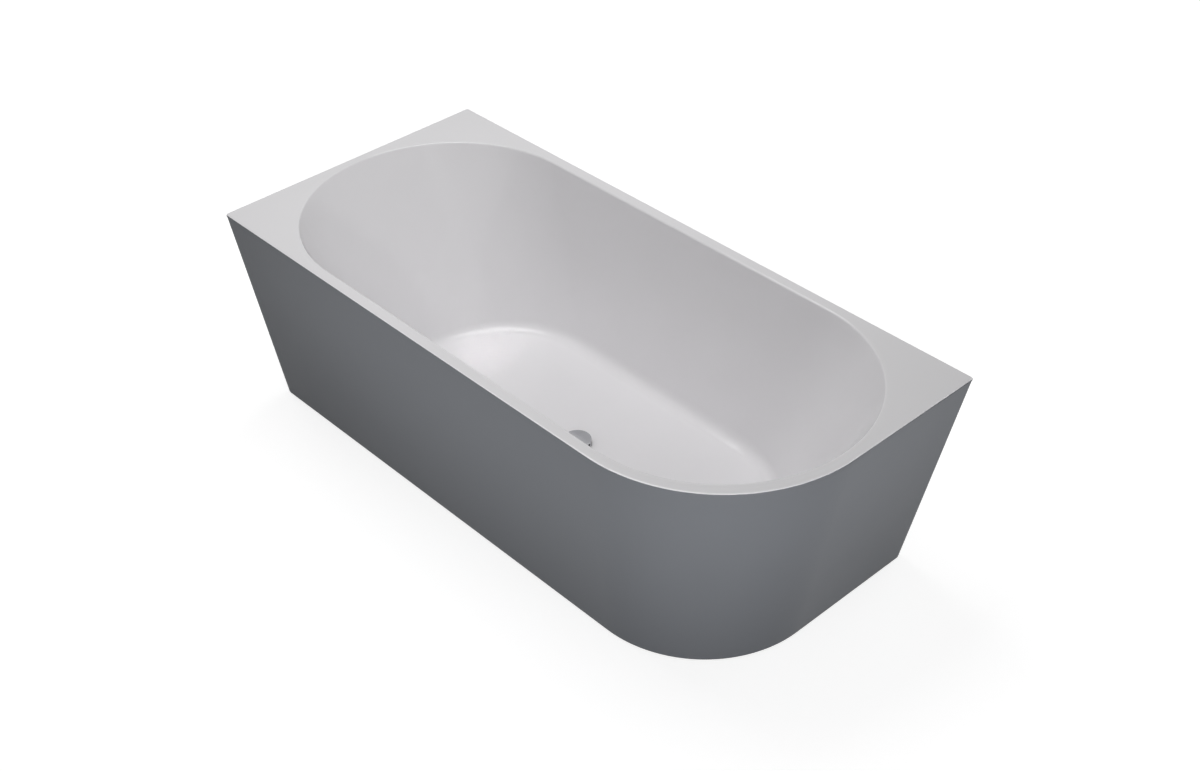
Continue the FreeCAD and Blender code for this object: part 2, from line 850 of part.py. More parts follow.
def make_popup_cartridge():
    """The guide that screws into the cross; the stem slides in its bore above the spring."""
    body = new_body("popup_cartridge")
    shank_bottom = boss_top - size.cartridge_shank
    revolve(body, [
        (ZERO, shank_bottom), (size.cartridge_bore_radius, shank_bottom),
        (size.cartridge_bore_radius, boss_top), (size.cartridge_radius, boss_top),
        (size.cartridge_radius, cartridge_top), (size.cartridge_bore_radius, cartridge_top),
        (size.cartridge_bore_radius, cartridge_bore_bottom), (ZERO, cartridge_bore_bottom),
    ])
    return body


def make_plug_cap():
    body = new_body("plug_cap")
    top = floor_low + size.cap_rise
    socket_radius = size.stem_radius + size.fit_gap
    turned = revolve(body, [
        (ZERO, top), (size.cap_radius, top), (size.cap_radius, cap_bottom),
        (size.hub_radius, cap_bottom), (size.hub_radius, hub_bottom),
        (socket_radius, hub_bottom), (socket_radius, stem_top), (ZERO, stem_top),
    ])
    fillet(body, turned, size.cap_round, at_level(top))
    return body


def make_plug_stem():
    body = new_body("plug_stem")
    tip_radius = size.stem_radius - size.stem_tip
    revolve(body, [
        (ZERO, stem_bottom), (tip_radius, stem_bottom), (size.stem_radius, stem_bottom + size.stem_tip),
        (size.stem_radius, stem_top), (ZERO, stem_top),
    ])
    return body


def biarc(start, start_way, end, end_way):
    """Two tangent arcs from one point to another that leave and arrive along the given ways."""
    chord = end - start
    ways = start_way + end_way
    bend = 2 * (1 - start_way.dot(end_way))
    reach = (math.sqrt(chord.dot(ways) ** 2 + bend * chord.dot(chord)) - chord.dot(ways)) / bend
    corners = (start + start_way * reach, end - end_way * reach)
    middle = (corners[0] + corners[1]) / 2
    arcs = []
    for here, corner, there in ((start, corners[0], middle), (middle, corners[1], end)):
        half_chord = (here + there) / 2
        weight = here.distanceToPoint(half_chord) / reach
        arcs.append(Part.Arc(here, (half_chord + corner * weight) / (1 + weight), there).toShape())
    return arcs


def make_popup_spring():
    """A wire helix between the floor of the cartridge's bore and the end of the stem."""
    wire_radius = size.spring_wire_radius.value
    coil_radius = (size.cartridge_bore_radius - size.spring_wire_radius - size.spring_side_gap).value
    bottom = (cartridge_bore_bottom + size.spring_gap + size.spring_wire_radius).value
    top = (stem_bottom - size.spring_gap - size.spring_wire_radius).value
    steps = SPRING_TURNS * SPRING_ARCS_PER_TURN

    def point(step):
        angle = 2 * math.pi * step / SPRING_ARCS_PER_TURN
        level = bottom + (top - bottom) * step / steps
        return Vector(coil_radius * math.cos(angle), coil_radius * math.sin(angle), level)

    def way(step):
        angle = 2 * math.pi * step / SPRING_ARCS_PER_TURN
        climb = (top - bottom) / (2 * math.pi * SPRING_TURNS)
        return Vector(-coil_radius * math.sin(angle), coil_radius * math.cos(angle), climb).normalize()

    arcs = []
    for step in range(steps):
        arcs += biarc(point(step), way(step), point(step + 1), way(step + 1))
    path = Part.Wire(arcs)
    section = Part.Wire(Part.makeCircle(wire_radius, point(0), way(0)))
    spring = doc.addObject("Part::Feature", "popup_spring")
    spring.Label = "popup_spring"
    spring.Shape = path.makePipeShell([section], True, False)
    least_gap = min(
        point(low).distanceToPoint(point(high)) - 2 * wire_radius
        for low in range(steps + 1)
        for high in range(low + SPRING_ARCS_PER_TURN // 2, steps + 1)
    )
    print(f"popup_spring: least gap between turns {least_gap:.2f} mm")
    return spring


pieces = [
    make_basin_shell(),
    make_outer_skirt(),
    make_base_board(),
    *(make_rail(row, y) for row, y in RAILS.items()),
    *(make_crossbar(side, x) for side, x in BARS.items()),
    make_rail_end_caps(),
    make_rail_screws(),
    *(make_bracket(row, side) for row in BAR_ENDS for side in BARS),
    make_bracket_screws(),
    *make_feet(),
    make_waste_body(),
    *make_waste_rings(),
    make_popup_cartridge(),
    make_plug_cap(),
    ring("plug_seal", size.hub_radius + size.fit_gap, size.seal_radius,
         cap_bottom - size.seal_thickness, size.seal_thickness),
    make_plug_stem(),
    make_popup_spring(),
]
doc.recompute()

for item in doc.Objects:
    if "Invalid" in item.State or "Error" in item.State:
        raise RuntimeError(f"{item.Label} did not build")
for piece in pieces:
    if piece.Shape.isNull() or not piece.Shape.isValid():
        raise RuntimeError(f"{piece.Label} has no valid shape")

os.makedirs("parts", exist_ok=True)
for piece in pieces:
    piece.Shape.exportStep(os.path.join("parts", f"{piece.Label}.step"))
print(f"{len(pieces)} pieces written")
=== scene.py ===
import math

import bpy
from mathutils import Matrix, Vector


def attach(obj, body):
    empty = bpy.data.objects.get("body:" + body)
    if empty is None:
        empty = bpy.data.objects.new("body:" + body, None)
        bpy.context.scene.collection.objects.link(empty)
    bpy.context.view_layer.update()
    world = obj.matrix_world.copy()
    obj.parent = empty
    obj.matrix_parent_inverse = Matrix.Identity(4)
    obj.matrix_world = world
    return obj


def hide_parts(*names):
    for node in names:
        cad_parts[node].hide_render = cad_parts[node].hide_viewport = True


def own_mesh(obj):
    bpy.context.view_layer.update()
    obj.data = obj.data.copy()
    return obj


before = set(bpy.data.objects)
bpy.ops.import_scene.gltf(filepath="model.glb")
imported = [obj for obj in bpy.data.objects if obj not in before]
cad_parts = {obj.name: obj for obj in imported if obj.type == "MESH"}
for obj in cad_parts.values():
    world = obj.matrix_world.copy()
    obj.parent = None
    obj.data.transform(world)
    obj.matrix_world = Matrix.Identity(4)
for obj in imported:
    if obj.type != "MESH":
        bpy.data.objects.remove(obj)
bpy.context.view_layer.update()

# Back-to-wall bathtub. Lengths of its pieces are millimetres in the frame of the model, and each
# mesh is scaled to metres when it is made. The lamps and the floor are in metres.

MM = 0.001
QUARTER = math.pi / 2

# overall box and skirt
LENGTH, WIDTH, HEIGHT = 1700, 780, 600
FRONT_TAPER, END_TAPER = 96, 128
CORNER_TOP, CORNER_TAPER = 384, 80
EDGE_TOP, EDGE_BASE = 8, 24
SKIRT_WALL, SKIRT_INNER_RADIUS = 5, 3
SKIRT_BOTTOM, SKIRT_TOP = 4, 595
BASE_FLANGE_WIDTH, BASE_FLANGE_TOP = 26, 9
TOP_FLANGE_WIDTH, TOP_FLANGE_BOTTOM = 10, 591
SKIRT_TOP_ROUND, SKIRT_BOTTOM_ROUND = 0.8, 1.8

# rim deck and basin
DECK_ROUND = 3
RIM_SIDE, RIM_WALL_END, RIM_FREE_END = 30, 24, 29
OPENING_ROUND = 6
SIDE_SLOPE, END_SLOPE = 79, 261
FLOOR, FLOOR_LOW = 146, 142
FLOOR_ROUND = 36
SHELL_WALL, SHELL_BOTTOM = 6, 134
LANDING_RADIUS, LANDING_STRETCH = 46, 4
RECESS_RADIUS, RECESS_ROUND, RECESS_SUPPORT, RECESS_BOTTOM = 35, 0.5, 1.5, 138.5
HOLE_RADIUS = 25.5

# waste fitting and plug
FIT_GAP = 0.05
FLANGE_RADIUS, FLANGE_UNDERSIDE, FLANGE_EDGE, FLANGE_CROWN = 34.5, 139, 0.4, 2.5
SEAT_RADIUS, SEAT_BOTTOM, SEAT_LAND, BORE_RADIUS = 23, 137, 2, 20.5
WASTE_THREAD, WASTE_THREAD_DEPTH, WASTE_THREAD_PITCH, WASTE_THREAD_END = 25, 0.9, 2.3, 0.5
WASTE_THREAD_BOTTOM, TAIL_RADIUS, TAIL_BOTTOM, TAIL_SHOULDER = 118, 23.9, 62, 1
SPOKES, SPOKE_WIDTH, SPOKE_BOTTOM, SPOKE_ROOT, SPOKE_KEEL, SPOKE_EDGE = 4, 4, 104, 6.4, 1, 0.6
BOSS_RADIUS, BOSS_BOTTOM, BOSS_TOP, BOSS_FLOOR = 8, 94, 110, 3.7
WASHER_RADIUS, WASHER_BOTTOM = 35, 131
BACKNUT_RADIUS, BACKNUT_BORE, BACKNUT_BOTTOM, BACKNUT_BEVEL = 36, 25.05, 121, 0.8
CAP_RADIUS, CAP_TOP, CAP_BOTTOM, CAP_ROUND, CAP_SUPPORT = 35.5, 159, 156, 2.2, 0.6
HUB_RADIUS, HUB_BOTTOM = 14, 147
SEAL_INNER, SEAL_RADIUS, SEAL_BOTTOM = 14.05, 33.5, 149.8
SEAL_LAND, SEAL_RAMP, SEAL_RELIEF, SEAL_TAPER = 6, 1, 0.6, 1
STEM_RADIUS, STEM_TOP, STEM_BOTTOM, STEM_TIP = 4.95, 151, 128, 1
CARTRIDGE_RADIUS, CARTRIDGE_BORE, CARTRIDGE_TOP, CARTRIDGE_FLOOR = 9, 5, 134, 112
SHANK_RADIUS, SHANK_BOTTOM, SHANK_TIP = 5, 98, 0.6
# grooves by their lower and upper level, depth and slope
STEM_GROOVE, CARTRIDGE_GROOVE, GROOVE_ROUND = (141, 143.5, 0.5, 0.5), (117, 121, 0.8, 1), 0.2
SPRING_COIL, SPRING_WIRE, SPRING_GAP, SPRING_TURNS, SPRING_PRESSED = 3.9, 0.5, 0.3, 5, 0.5

# frame and feet
BAR_X, RAIL_Y, RAIL_BOTTOM, BAR_BOTTOM = 390, 150, 88, 58
TUBE = 30
BAR_FRONT, BAR_BACK = -262.44, 357
FOOT_FRONT, FOOT_BACK = -226.44, 321
BOARD_LENGTH, BOARD_WIDTH, BOARD_CORNER, BOARD_BOTTOM = 860, 380, 40, 118
RAIL_SCREW_X, RAIL_SCREW_HEAD, RAIL_SCREW_HEAD_HEIGHT = 300, 5.8, 4
RAIL_SCREW_RADIUS, RAIL_SCREW_TIP, RAIL_SCREW_BITE, RAIL_SCREW_POINT = 3, 0.5, 12, 2
BRACKET_SCREW_SPREAD, BRACKET_SCREW_REACH = 13, 13
BRACKET_SCREW_HEAD, BRACKET_SCREW_HEAD_HEIGHT, BRACKET_SCREW_SEAT = 4, 2.6, 12
BRACKET_SCREW_RADIUS, BRACKET_SCREW_TIP, BRACKET_SCREW_BOTTOM, BRACKET_SCREW_POINT = 2, 1.4, 5, 1
SCREW_JOIN, SCREW_STEPS = 0.5, 24
PAD_RADIUS, PAD_RIM, PAD_TOP_RADIUS, PAD_HEIGHT, PAD_SOCKET, PAD_FLOOR = 25, 4, 13, 12, 6.3, 4
PAD_SOLE_INSET, PAD_SOLE_RISE, PAD_SHOULDER, PAD_NECK, PAD_STEP = 2, 1.2, 3, 1, 1.6
STUD_RADIUS, STUD_ROOT, STUD_PITCH, STUD_BOTTOM, STUD_TOP, STUD_TIP = 6, 5.1, 1.75, 4.3, 98, 1.5
STUD_CHAMFER, STUD_JOIN = 1, 1
COLLAR_RADIUS, COLLAR_TOP = 9.8, 17
NUT_RADIUS, NUT_BORE, NUT_BEVEL, WELD_NUT_BOTTOM, LOCK_NUT_BOTTOM = 10.9, 6.1, 0.7, 50, 43.5


# Meshes

def add_object(name, data):
    added = bpy.data.objects.new(name, data)
    bpy.context.scene.collection.objects.link(added)
    return added


class Shape:
    """Points in millimetres and faces, gathered part by part before they become one object."""

    def __init__(self):
        self.points = []
        self.faces = []
        self.marks = []

    def face(self, *corners, mark=0):
        self.faces.append(corners)
        self.marks.append(mark)

    def skin(self, loops, marks=None, ring=False):
        """Quads from each loop of points to the next. A ring joins the last loop to the first, and
        otherwise a fan of triangles closes each end."""
        first = len(self.points)
        count = len(loops[0])
        marks = marks or [0] * len(loops)
        for loop in loops:
            self.points += loop
        for row in range(len(loops) if ring else len(loops) - 1):
            below = first + row * count
            above = first + (row + 1) % len(loops) * count
            for step in range(count):
                following = (step + 1) % count
                corners = (below + step, below + following, above + following, above + step)
                self.face(*corners, mark=marks[row])
        if not ring:
            self.fan(loops[0], first, 1, marks[0])
            self.fan(loops[-1], first + (len(loops) - 1) * count, -1, marks[-1])

    def fan(self, loop, first, way, mark):
        count = len(loop)
        middle = len(self.points)
        self.points.append(tuple(sum(parts) / count for parts in zip(*loop)))
        for step in range(count):
            pair = (first + (step + 1) % count, first + step)
            self.face(middle, *pair[::way], mark=mark)

    def make(self, name, materials, body, replaced, sharp=40):
        """The object, smooth shaded up to an angle between faces, on the body that carries it."""
        mesh = bpy.data.meshes.new(name)
        mesh.from_pydata([(x * MM, y * MM, z * MM) for x, y, z in self.points], [], self.faces)
        for material in materials:
            mesh.materials.append(material)
        mesh.polygons.foreach_set("use_smooth", [True] * len(self.faces))
        mesh.polygons.foreach_set("material_index", self.marks)
        mesh.set_sharp_from_angle(angle=math.radians(sharp))
        mesh.update()
        piece = add_object(name, mesh)
        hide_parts(*replaced)
        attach(piece, body)
        return piece


def make_piece(name, loops, material, body, node, ring=False):
    """A piece of one skin and one material, in place of a node."""
    shape = Shape()
    shape.skin(loops, ring=ring)
    return shape.make(name, [material], body, [node])


def spot(x, y, reach, turn):
    """Where a distance and an angle lead from a centre."""
    return x + reach * math.cos(turn), y + reach * math.sin(turn)


def circle(radius, level, steps, x=0, y=0):
    turns = [2 * math.pi * step / steps for step in range(steps)]
    return [(*spot(x, y, radius, turn), level) for turn in turns]


def turned(profile, steps, x=0, y=0):
    """Loops of a turned part. The profile of (radius, level) points runs up its outside."""
    return [circle(radius, level, steps, x, y) for radius, level in profile]


def softly_turned(corners, steps, x=0, y=0, bend=4):
    """Loops of a turned part whose profile has rounded corners."""
    return turned(rounded(corners, bend), steps, x, y)


def rounded(corners, steps):
    """A profile with its corners rounded, from (radius, level, rounding) points."""
    profile = []
    for index, (across, level, rounding) in enumerate(corners):
        if not rounding:
            profile.append((across, level))
            continue
        corner = Vector((across, level))
        before = Vector(corners[index - 1][:2]) - corner
        after = Vector(corners[(index + 1) % len(corners)][:2]) - corner
        reach = rounding / math.tan(before.angle(after) / 2)
        start = corner + before.normalized() * reach
        end = corner + after.normalized() * reach
        for share in spaced(0, 1, steps):
            bent = start.lerp(corner, share).lerp(corner.lerp(end, share), share)
            profile.append((bent.x, bent.y))
    return profile


def groove(radius, low, high, depth, slope):
    """Points of a profile that go down into a groove and up again."""
    bottom = radius - depth
    corners = [(radius, low), (bottom, low + slope), (bottom, high - slope), (radius, high)]
    return [(*corner, GROOVE_ROUND) for corner in corners]


HEX_STEPS, HEX_CHAMFER, HEX_SLOPE = 72, 0.975, 0.577


def hexagon(radius, low, high, x=0, y=0):
    """Loops of a hexagon with both ends chamfered as on a turned nut."""
    flat = radius * math.cos(math.pi / 6)
    inner = flat * HEX_CHAMFER
    edges = []
    for step in range(HEX_STEPS):
        turn = 2 * math.pi * step / HEX_STEPS
        reach = flat / math.cos((turn % (math.pi / 3)) - math.pi / 6)
        edges.append((*spot(x, y, reach, turn), (reach - inner) * HEX_SLOPE))
    return [
        circle(inner, low, HEX_STEPS, x, y),
        [(across, along, low + drop) for across, along, drop in edges],
        [(across, along, high - drop) for across, along, drop in edges],
        circle(inner, high, HEX_STEPS, x, y),
    ]


def hex_nut(radius, bore, low, high, bevel, x=0, y=0):
    """Loops of a ring: a hexagon with a bevelled bore."""
    hole = [(bore + bevel, high), (bore, high - bevel), (bore, low + bevel), (bore + bevel, low)]
    return hexagon(radius, low, high, x, y) + turned(hole, HEX_STEPS, x, y)


def add_thread(shape, crest, root, pitch, low, high, steps, x=0, y=0):
    """A right-hand thread: rows of crests and roots that climb with the turn between two levels."""
    first = len(shape.points)
    rows = 2 * (math.ceil((high - low) / pitch) + 2)
    levels = []
    for row in range(rows):
        for step in range(steps):
            wanted = low + pitch * (row / 2 + step / steps - 1)
            level = min(max(wanted, low), high)
            reach = crest if row % 2 and level == wanted else root
            shape.points.append((*spot(x, y, reach, 2 * math.pi * step / steps), level))
            levels.append(level)
    for row in range(rows - 1):
        for step in range(steps):
            following = (row, step + 1) if step + 1 < steps else (row + 2, 0)
            corners = [(row, step), following, (following[0] + 1, following[1]), (row + 1, step)]
            if corners[2][0] >= rows:
                continue
            places = [at * steps + along for at, along in corners]
            if len({levels[place] for place in places}) > 1:
                shape.face(*(first + place for place in places))


BEAD_RIPPLE, BEAD_ROWS, BEAD_LEAST, BEAD_STEPS = 2.2, 4, 6, 10
BEAD_TAPER, BEAD_END, BEAD_DEPTH = 4, 0.35, 0.1


def add_bead(shape, start, end, radius):
    """A run of weld between two points, in overlapping ripples that thin out at its ends."""
    start, end = Vector(start), Vector(end)
    way = (end - start).normalized()
    side = way.orthogonal().normalized()
    other = way.cross(side)
    count = max(BEAD_LEAST, round((end - start).length / BEAD_RIPPLE) * BEAD_ROWS)
    turns = [2 * math.pi * step / BEAD_STEPS for step in range(BEAD_STEPS)]
    loops = []
    for row in range(count + 1):
        share = row / count
        taper = min(1, BEAD_TAPER * min(share, 1 - share) + BEAD_END)
        swell = abs(math.sin(math.pi * row / BEAD_ROWS))
        reach = radius * taper * (1 - BEAD_DEPTH + BEAD_DEPTH * swell)
        middle = start.lerp(end, share)
        loops.append([
            tuple(middle + side * (reach * math.cos(turn)) + other * (reach * math.sin(turn)))
            for turn in turns
        ])
    shape.skin(loops)


def spaced(start, end, count):
    """Values from start to end, both included, in so many steps."""
    return [start + (end - start) * step / count for step in range(count + 1)]


# Plans

def tapered(amount, level):
    """The share of a taper, given for the whole height, that is reached at a level."""
    return amount * (HEIGHT - level) / HEIGHT


def tub_plan(level, inset, radius):
    """Reach of the four sides and the radii of the main and the plain corners."""
    return {
        "left": LENGTH / 2 - inset,
        "right": LENGTH / 2 - tapered(END_TAPER, level) - inset,
        "front": WIDTH / 2 - tapered(FRONT_TAPER, level) - inset,
        "back": WIDTH / 2 - inset,
        "main_radius": CORNER_TOP - tapered(CORNER_TAPER, level) - inset,
        "radius": radius,
    }


def plan_corners(plan):
    """Centre, radius and start angle of the corners, anticlockwise from the front right one."""
    main = plan["main_radius"]
    small = plan["radius"]
    return [
        (plan["right"] - main, main - plan["front"], main, -90),
        (plan["right"] - small, plan["back"] - small, small, 0),
        (small - plan["left"], plan["back"] - small, small, 90),
        (small - plan["left"], small - plan["front"], small, 180),
    ]


def outside_plan(plan, x, y):
    """Below zero inside a plan, above zero outside."""
    depth = max(-plan["left"] - x, x - plan["right"], -plan["front"] - y, y - plan["back"])
    for centre_x, centre_y, radius, start in plan_corners(plan):
        side_x = 1 if start in (-90, 0) else -1
        side_y = 1 if start in (0, 90) else -1
        if side_x * (x - centre_x) > 0 and side_y * (y - centre_y) > 0:
            depth = max(depth, math.hypot(x - centre_x, y - centre_y) - radius)
    return depth


MAIN_CORNER_STEPS, PLAIN_CORNER_STEPS, SIDE_STEPS = 56, 8, 24


def plan_loop(plan, level):
    """Points round a plan: each corner in equal turns, each side closer together at its ends."""
    corners = plan_corners(plan)
    loop = []
    for index, (x, y, radius, start) in enumerate(corners):
        steps = PLAIN_CORNER_STEPS if index else MAIN_CORNER_STEPS
        for turn in spaced(start, start + 90, steps):
            loop.append((*spot(x, y, radius, math.radians(turn)), level))
        end_x, end_y = loop[-1][:2]
        *circle_ahead, start_ahead = corners[(index + 1) % len(corners)]
        to_x, to_y = spot(*circle_ahead, math.radians(start_ahead))
        for share in spaced(0, 1, SIDE_STEPS)[1:-1]:
            eased = (1 - math.cos(math.pi * share)) / 2
            loop.append((end_x + (to_x - end_x) * eased, end_y + (to_y - end_y) * eased, level))
    return loop


# The basin follows a stadium whose centres and radius change evenly with height

class Wall:
    """One side of the basin's wall, by the level and the stadium of its top and its foot."""

    def __init__(self, top, foot, spread):
        self.top = top
        self.foot = foot
        self.radius = WIDTH / 2 - RIM_SIDE + spread
        self.centres = {
            -1: RIM_WALL_END - LENGTH / 2 + (self.radius - spread),
            1: LENGTH / 2 - RIM_FREE_END - (self.radius - spread),
        }
        self.radius_rate = SIDE_SLOPE / (top - foot)
        self.centre_rate = (END_SLOPE - SIDE_SLOPE) / (top - foot)

    def point(self, ray, level, outwards=0):
        """The point of the wall where a ray meets it at a level, moved outwards in plan."""
        drop = self.top - level
        end, share, angle = ray
        left = self.centres[-1] + self.centre_rate * drop
        right = self.centres[1] - self.centre_rate * drop
        if end == 0:
            x = left + (right - left) * share
        else:
            x = left if end < 0 else right
        reach = self.radius - self.radius_rate * drop + outwards
        return (*spot(x, 0, reach, angle), level)

    def lean(self, ray):
        """The angle of the wall from upright where a ray meets it."""
        end, _, angle = ray
        return math.atan(self.centre_rate * abs(math.cos(angle)) * (end != 0) + self.radius_rate)

    def bend(self, ray, radius, share):
        """How far a rounding has left the flat it starts on, and how far it is from the wall."""
        lean_angle = self.lean(ray)
        turn = share * (QUARTER - lean_angle)
        reach = radius / math.tan((QUARTER + lean_angle) / 2)
        height = radius - radius * math.cos(turn)
        return height, reach - radius * math.sin(turn) + math.tan(lean_angle) * height

    def round_foot(self, ray, radius, share):
        """A point of the rounding between floor and wall, from the floor (0) to the wall (1)."""
        rise, inwards = self.bend(ray, radius, share)
        return self.point(ray, self.foot + rise, -inwards)

    def round_top(self, ray, radius, share):
        """A point of the rounding between deck and wall, from the deck (0) to the wall (1)."""
        drop, outwards = self.bend(ray, radius, share)
        return self.point(ray, self.top - drop, outwards)


INNER = Wall(HEIGHT, FLOOR, 0)
OUTER = Wall(HEIGHT, SHELL_BOTTOM, SHELL_WALL)

SIDE_RAYS, END_RAYS, CORNER_RAYS = 40, 96, 6


def make_rays():
    """Directions out of the basin's long axis, anticlockwise from the left end of its front, as an
    end (0 for the straight sides), a share of the axis and an angle. Each plain corner of the deck
    has a few rays of its own."""
    corner_angles = {-1: [], 1: []}
    for x, y, radius, start in plan_corners(tub_plan(HEIGHT, 0, EDGE_TOP))[1:]:
        end = 1 if x > 0 else -1
        for turn in spaced(start, start + 90, CORNER_RAYS):
            corner_x, corner_y = spot(x - INNER.centres[end], y, radius, math.radians(turn))
            corner_angles[end].append(math.atan2(corner_y, corner_x) % (2 * math.pi))
    right = spaced(-QUARTER, QUARTER, END_RAYS) + corner_angles[1]
    left = spaced(QUARTER, 3 * QUARTER, END_RAYS) + corner_angles[-1]
    rays = [(0, share, -QUARTER) for share in spaced(0, 1, SIDE_RAYS)[1:-1]]
    rays += [(1, 1, angle) for angle in sorted(right)]
    rays += [(0, share, QUARTER) for share in spaced(1, 0, SIDE_RAYS)[1:-1]]
    rays += [(-1, 0, angle) for angle in sorted(left)]
    return rays


RAYS = make_rays()
RAY_LIMIT, RAY_HALVINGS = 1200, 50


def deck_loop(inset, level):
    """Where the rays meet the outline of the deck, moved inwards."""
    plan = tub_plan(HEIGHT, inset, max(EDGE_TOP - inset, 0))
    loop = []
    for ray in RAYS:
        near, far = 0, RAY_LIMIT
        for _ in range(RAY_HALVINGS):
            middle = (near + far) / 2
            x, y, _ = INNER.point(ray, HEIGHT, middle - INNER.radius)
            if outside_plan(plan, x, y) < 0:
                near = middle
            else:
                far = middle
        x, y, _ = INNER.point(ray, HEIGHT, near - INNER.radius)
        loop.append((x, y, level))
    return loop


def between(first, second, share):
    return [tuple(a + (b - a) * share for a, b in zip(p, q)) for p, q in zip(first, second)]


def landing_loop(level):
    """The small stadium round the waste, at the low point of the floor."""
    loop = []
    for end, share, angle in RAYS:
        x = LANDING_STRETCH * (end if end else 2 * share - 1)
        loop.append((*spot(x, 0, LANDING_RADIUS, angle), level))
    return loop


def round_loop(radius, level):
    """A circle about the waste, with its points in the directions of the landing's."""
    loop = []
    for x, y, _ in landing_loop(level):
        reach = math.hypot(x, y)
        loop.append((x * radius / reach, y * radius / reach, level))
    return loop


def smooth(share):
    return share * share * (3 - 2 * share)


ROUND_STEPS, FOOT_STEPS, WALL_STEPS, FLOOR_STEPS = 6, 12, 20, 16
DECK_SUPPORT, WALL_SUPPORT = 2, 0.005
# places in a moulding's list of materials, and the rows of faces of painted shade up the deck's edge
GLOSS, BACKING, SHADE_BAND = 0, 1, 2
SHADE_BAND_ROWS = 3


def basin_top_loops():
    """From the lower outside edge of the deck, over it and down the basin to the waste hole."""
    loops = [deck_loop(0, SKIRT_TOP)]
    for turn in spaced(0, QUARTER, ROUND_STEPS):
        inset = DECK_ROUND * (1 - math.cos(turn))
        loops.append(deck_loop(inset, HEIGHT - DECK_ROUND + DECK_ROUND * math.sin(turn)))
    loops.append(deck_loop(DECK_ROUND + DECK_SUPPORT, HEIGHT))
    lip = [INNER.round_top(ray, OPENING_ROUND, 0) for ray in RAYS]
    loops.append(between(lip, loops[-1], DECK_SUPPORT / RIM_SIDE))
    for share in spaced(0, 1, ROUND_STEPS):
        loops.append([INNER.round_top(ray, OPENING_ROUND, share) for ray in RAYS])
    upper = loops[-1]
    lower = [INNER.round_foot(ray, FLOOR_ROUND, 1) for ray in RAYS]
    for share in [WALL_SUPPORT] + spaced(0, 1, WALL_STEPS)[1:-1] + [1 - WALL_SUPPORT]:
        loops.append([
            INNER.point(ray, high[2] + (low[2] - high[2]) * share)
            for ray, high, low in zip(RAYS, upper, lower)
        ])
    for share in spaced(1, 0, FOOT_STEPS):
        loops.append([INNER.round_foot(ray, FLOOR_ROUND, share) for ray in RAYS])
    rim_of_floor = loops[-1]
    landing = landing_loop(FLOOR_LOW)
    for share in spaced(0, 1, FLOOR_STEPS)[1:]:
        flat = between(rim_of_floor, landing, share)
        level = FLOOR - (FLOOR - FLOOR_LOW) * smooth(share)
        loops.append([(x, y, level) for x, y, _ in flat])
    recess = [
        (RECESS_RADIUS + RECESS_SUPPORT, FLOOR_LOW), (RECESS_RADIUS + RECESS_ROUND, FLOOR_LOW),
        (RECESS_RADIUS, FLOOR_LOW - RECESS_ROUND), (RECESS_RADIUS, RECESS_BOTTOM),
        (HOLE_RADIUS, RECESS_BOTTOM),
    ]
    return loops + [round_loop(radius, level) for radius, level in recess]


def basin_under_loops():
    """From the waste hole over the back of the shell to the underside of the deck."""
    loops = [round_loop(HOLE_RADIUS, SHELL_BOTTOM)]
    landing = landing_loop(SHELL_BOTTOM)
    floor_edge = [OUTER.round_foot(ray, FLOOR_ROUND + SHELL_WALL, 0) for ray in RAYS]
    for share in spaced(0, 1, FLOOR_STEPS):
        loops.append(between(landing, floor_edge, share))
    for share in spaced(0, 1, FOOT_STEPS)[1:]:
        loops.append([OUTER.round_foot(ray, FLOOR_ROUND + SHELL_WALL, share) for ray in RAYS])
    lower = loops[-1]
    for share in spaced(0, 1, WALL_STEPS)[1:]:
        loops.append([
            OUTER.point(ray, low[2] + (SKIRT_TOP - low[2]) * share)
            for ray, low in zip(RAYS, lower)
        ])
    return loops


def make_basin(gloss, backing, shade_band):
    """The white moulding, with the skirt's painted shade up the edge of the deck and over the lower part
    of its rounding.
    """
    top = basin_top_loops()
    under = basin_under_loops()
    # painted shade on the first rows: the deck's edge and the lower part of its rounding take the skirt's
    # dark colour
    loop_materials = [SHADE_BAND] * SHADE_BAND_ROWS + [GLOSS] * (len(top) - 1 - SHADE_BAND_ROWS)
    loop_materials += [BACKING] * (len(under) + 1)
    shape = Shape()
    shape.skin(top + under, loop_materials, ring=True)
    shape.make("basin_moulding", [gloss, backing, shade_band], "tub", ["basin_shell"], sharp=60)


def edge_radius(level, at_rim):
    """Radius of a plain corner of the skirt, which grows towards the floor."""
    return at_rim + tapered(EDGE_BASE - EDGE_TOP, level)


def skirt_loop(level, inset, inner=False, flange=False):
    """A loop of the skirt: its outside, its inside, or the mouth of a flange."""
    if flange:
        radius = SKIRT_INNER_RADIUS
    elif inner:
        radius = edge_radius(level, SKIRT_INNER_RADIUS)
    else:
        radius = edge_radius(level, EDGE_TOP) - min(inset, EDGE_TOP / 2)
    return plan_loop(tub_plan(level, inset, radius), level)


SKIRT_STEPS, SKIRT_TOP_STEPS, SKIRT_BOTTOM_STEPS, EDGE_SUPPORT = 14, 3, 4, 1.5


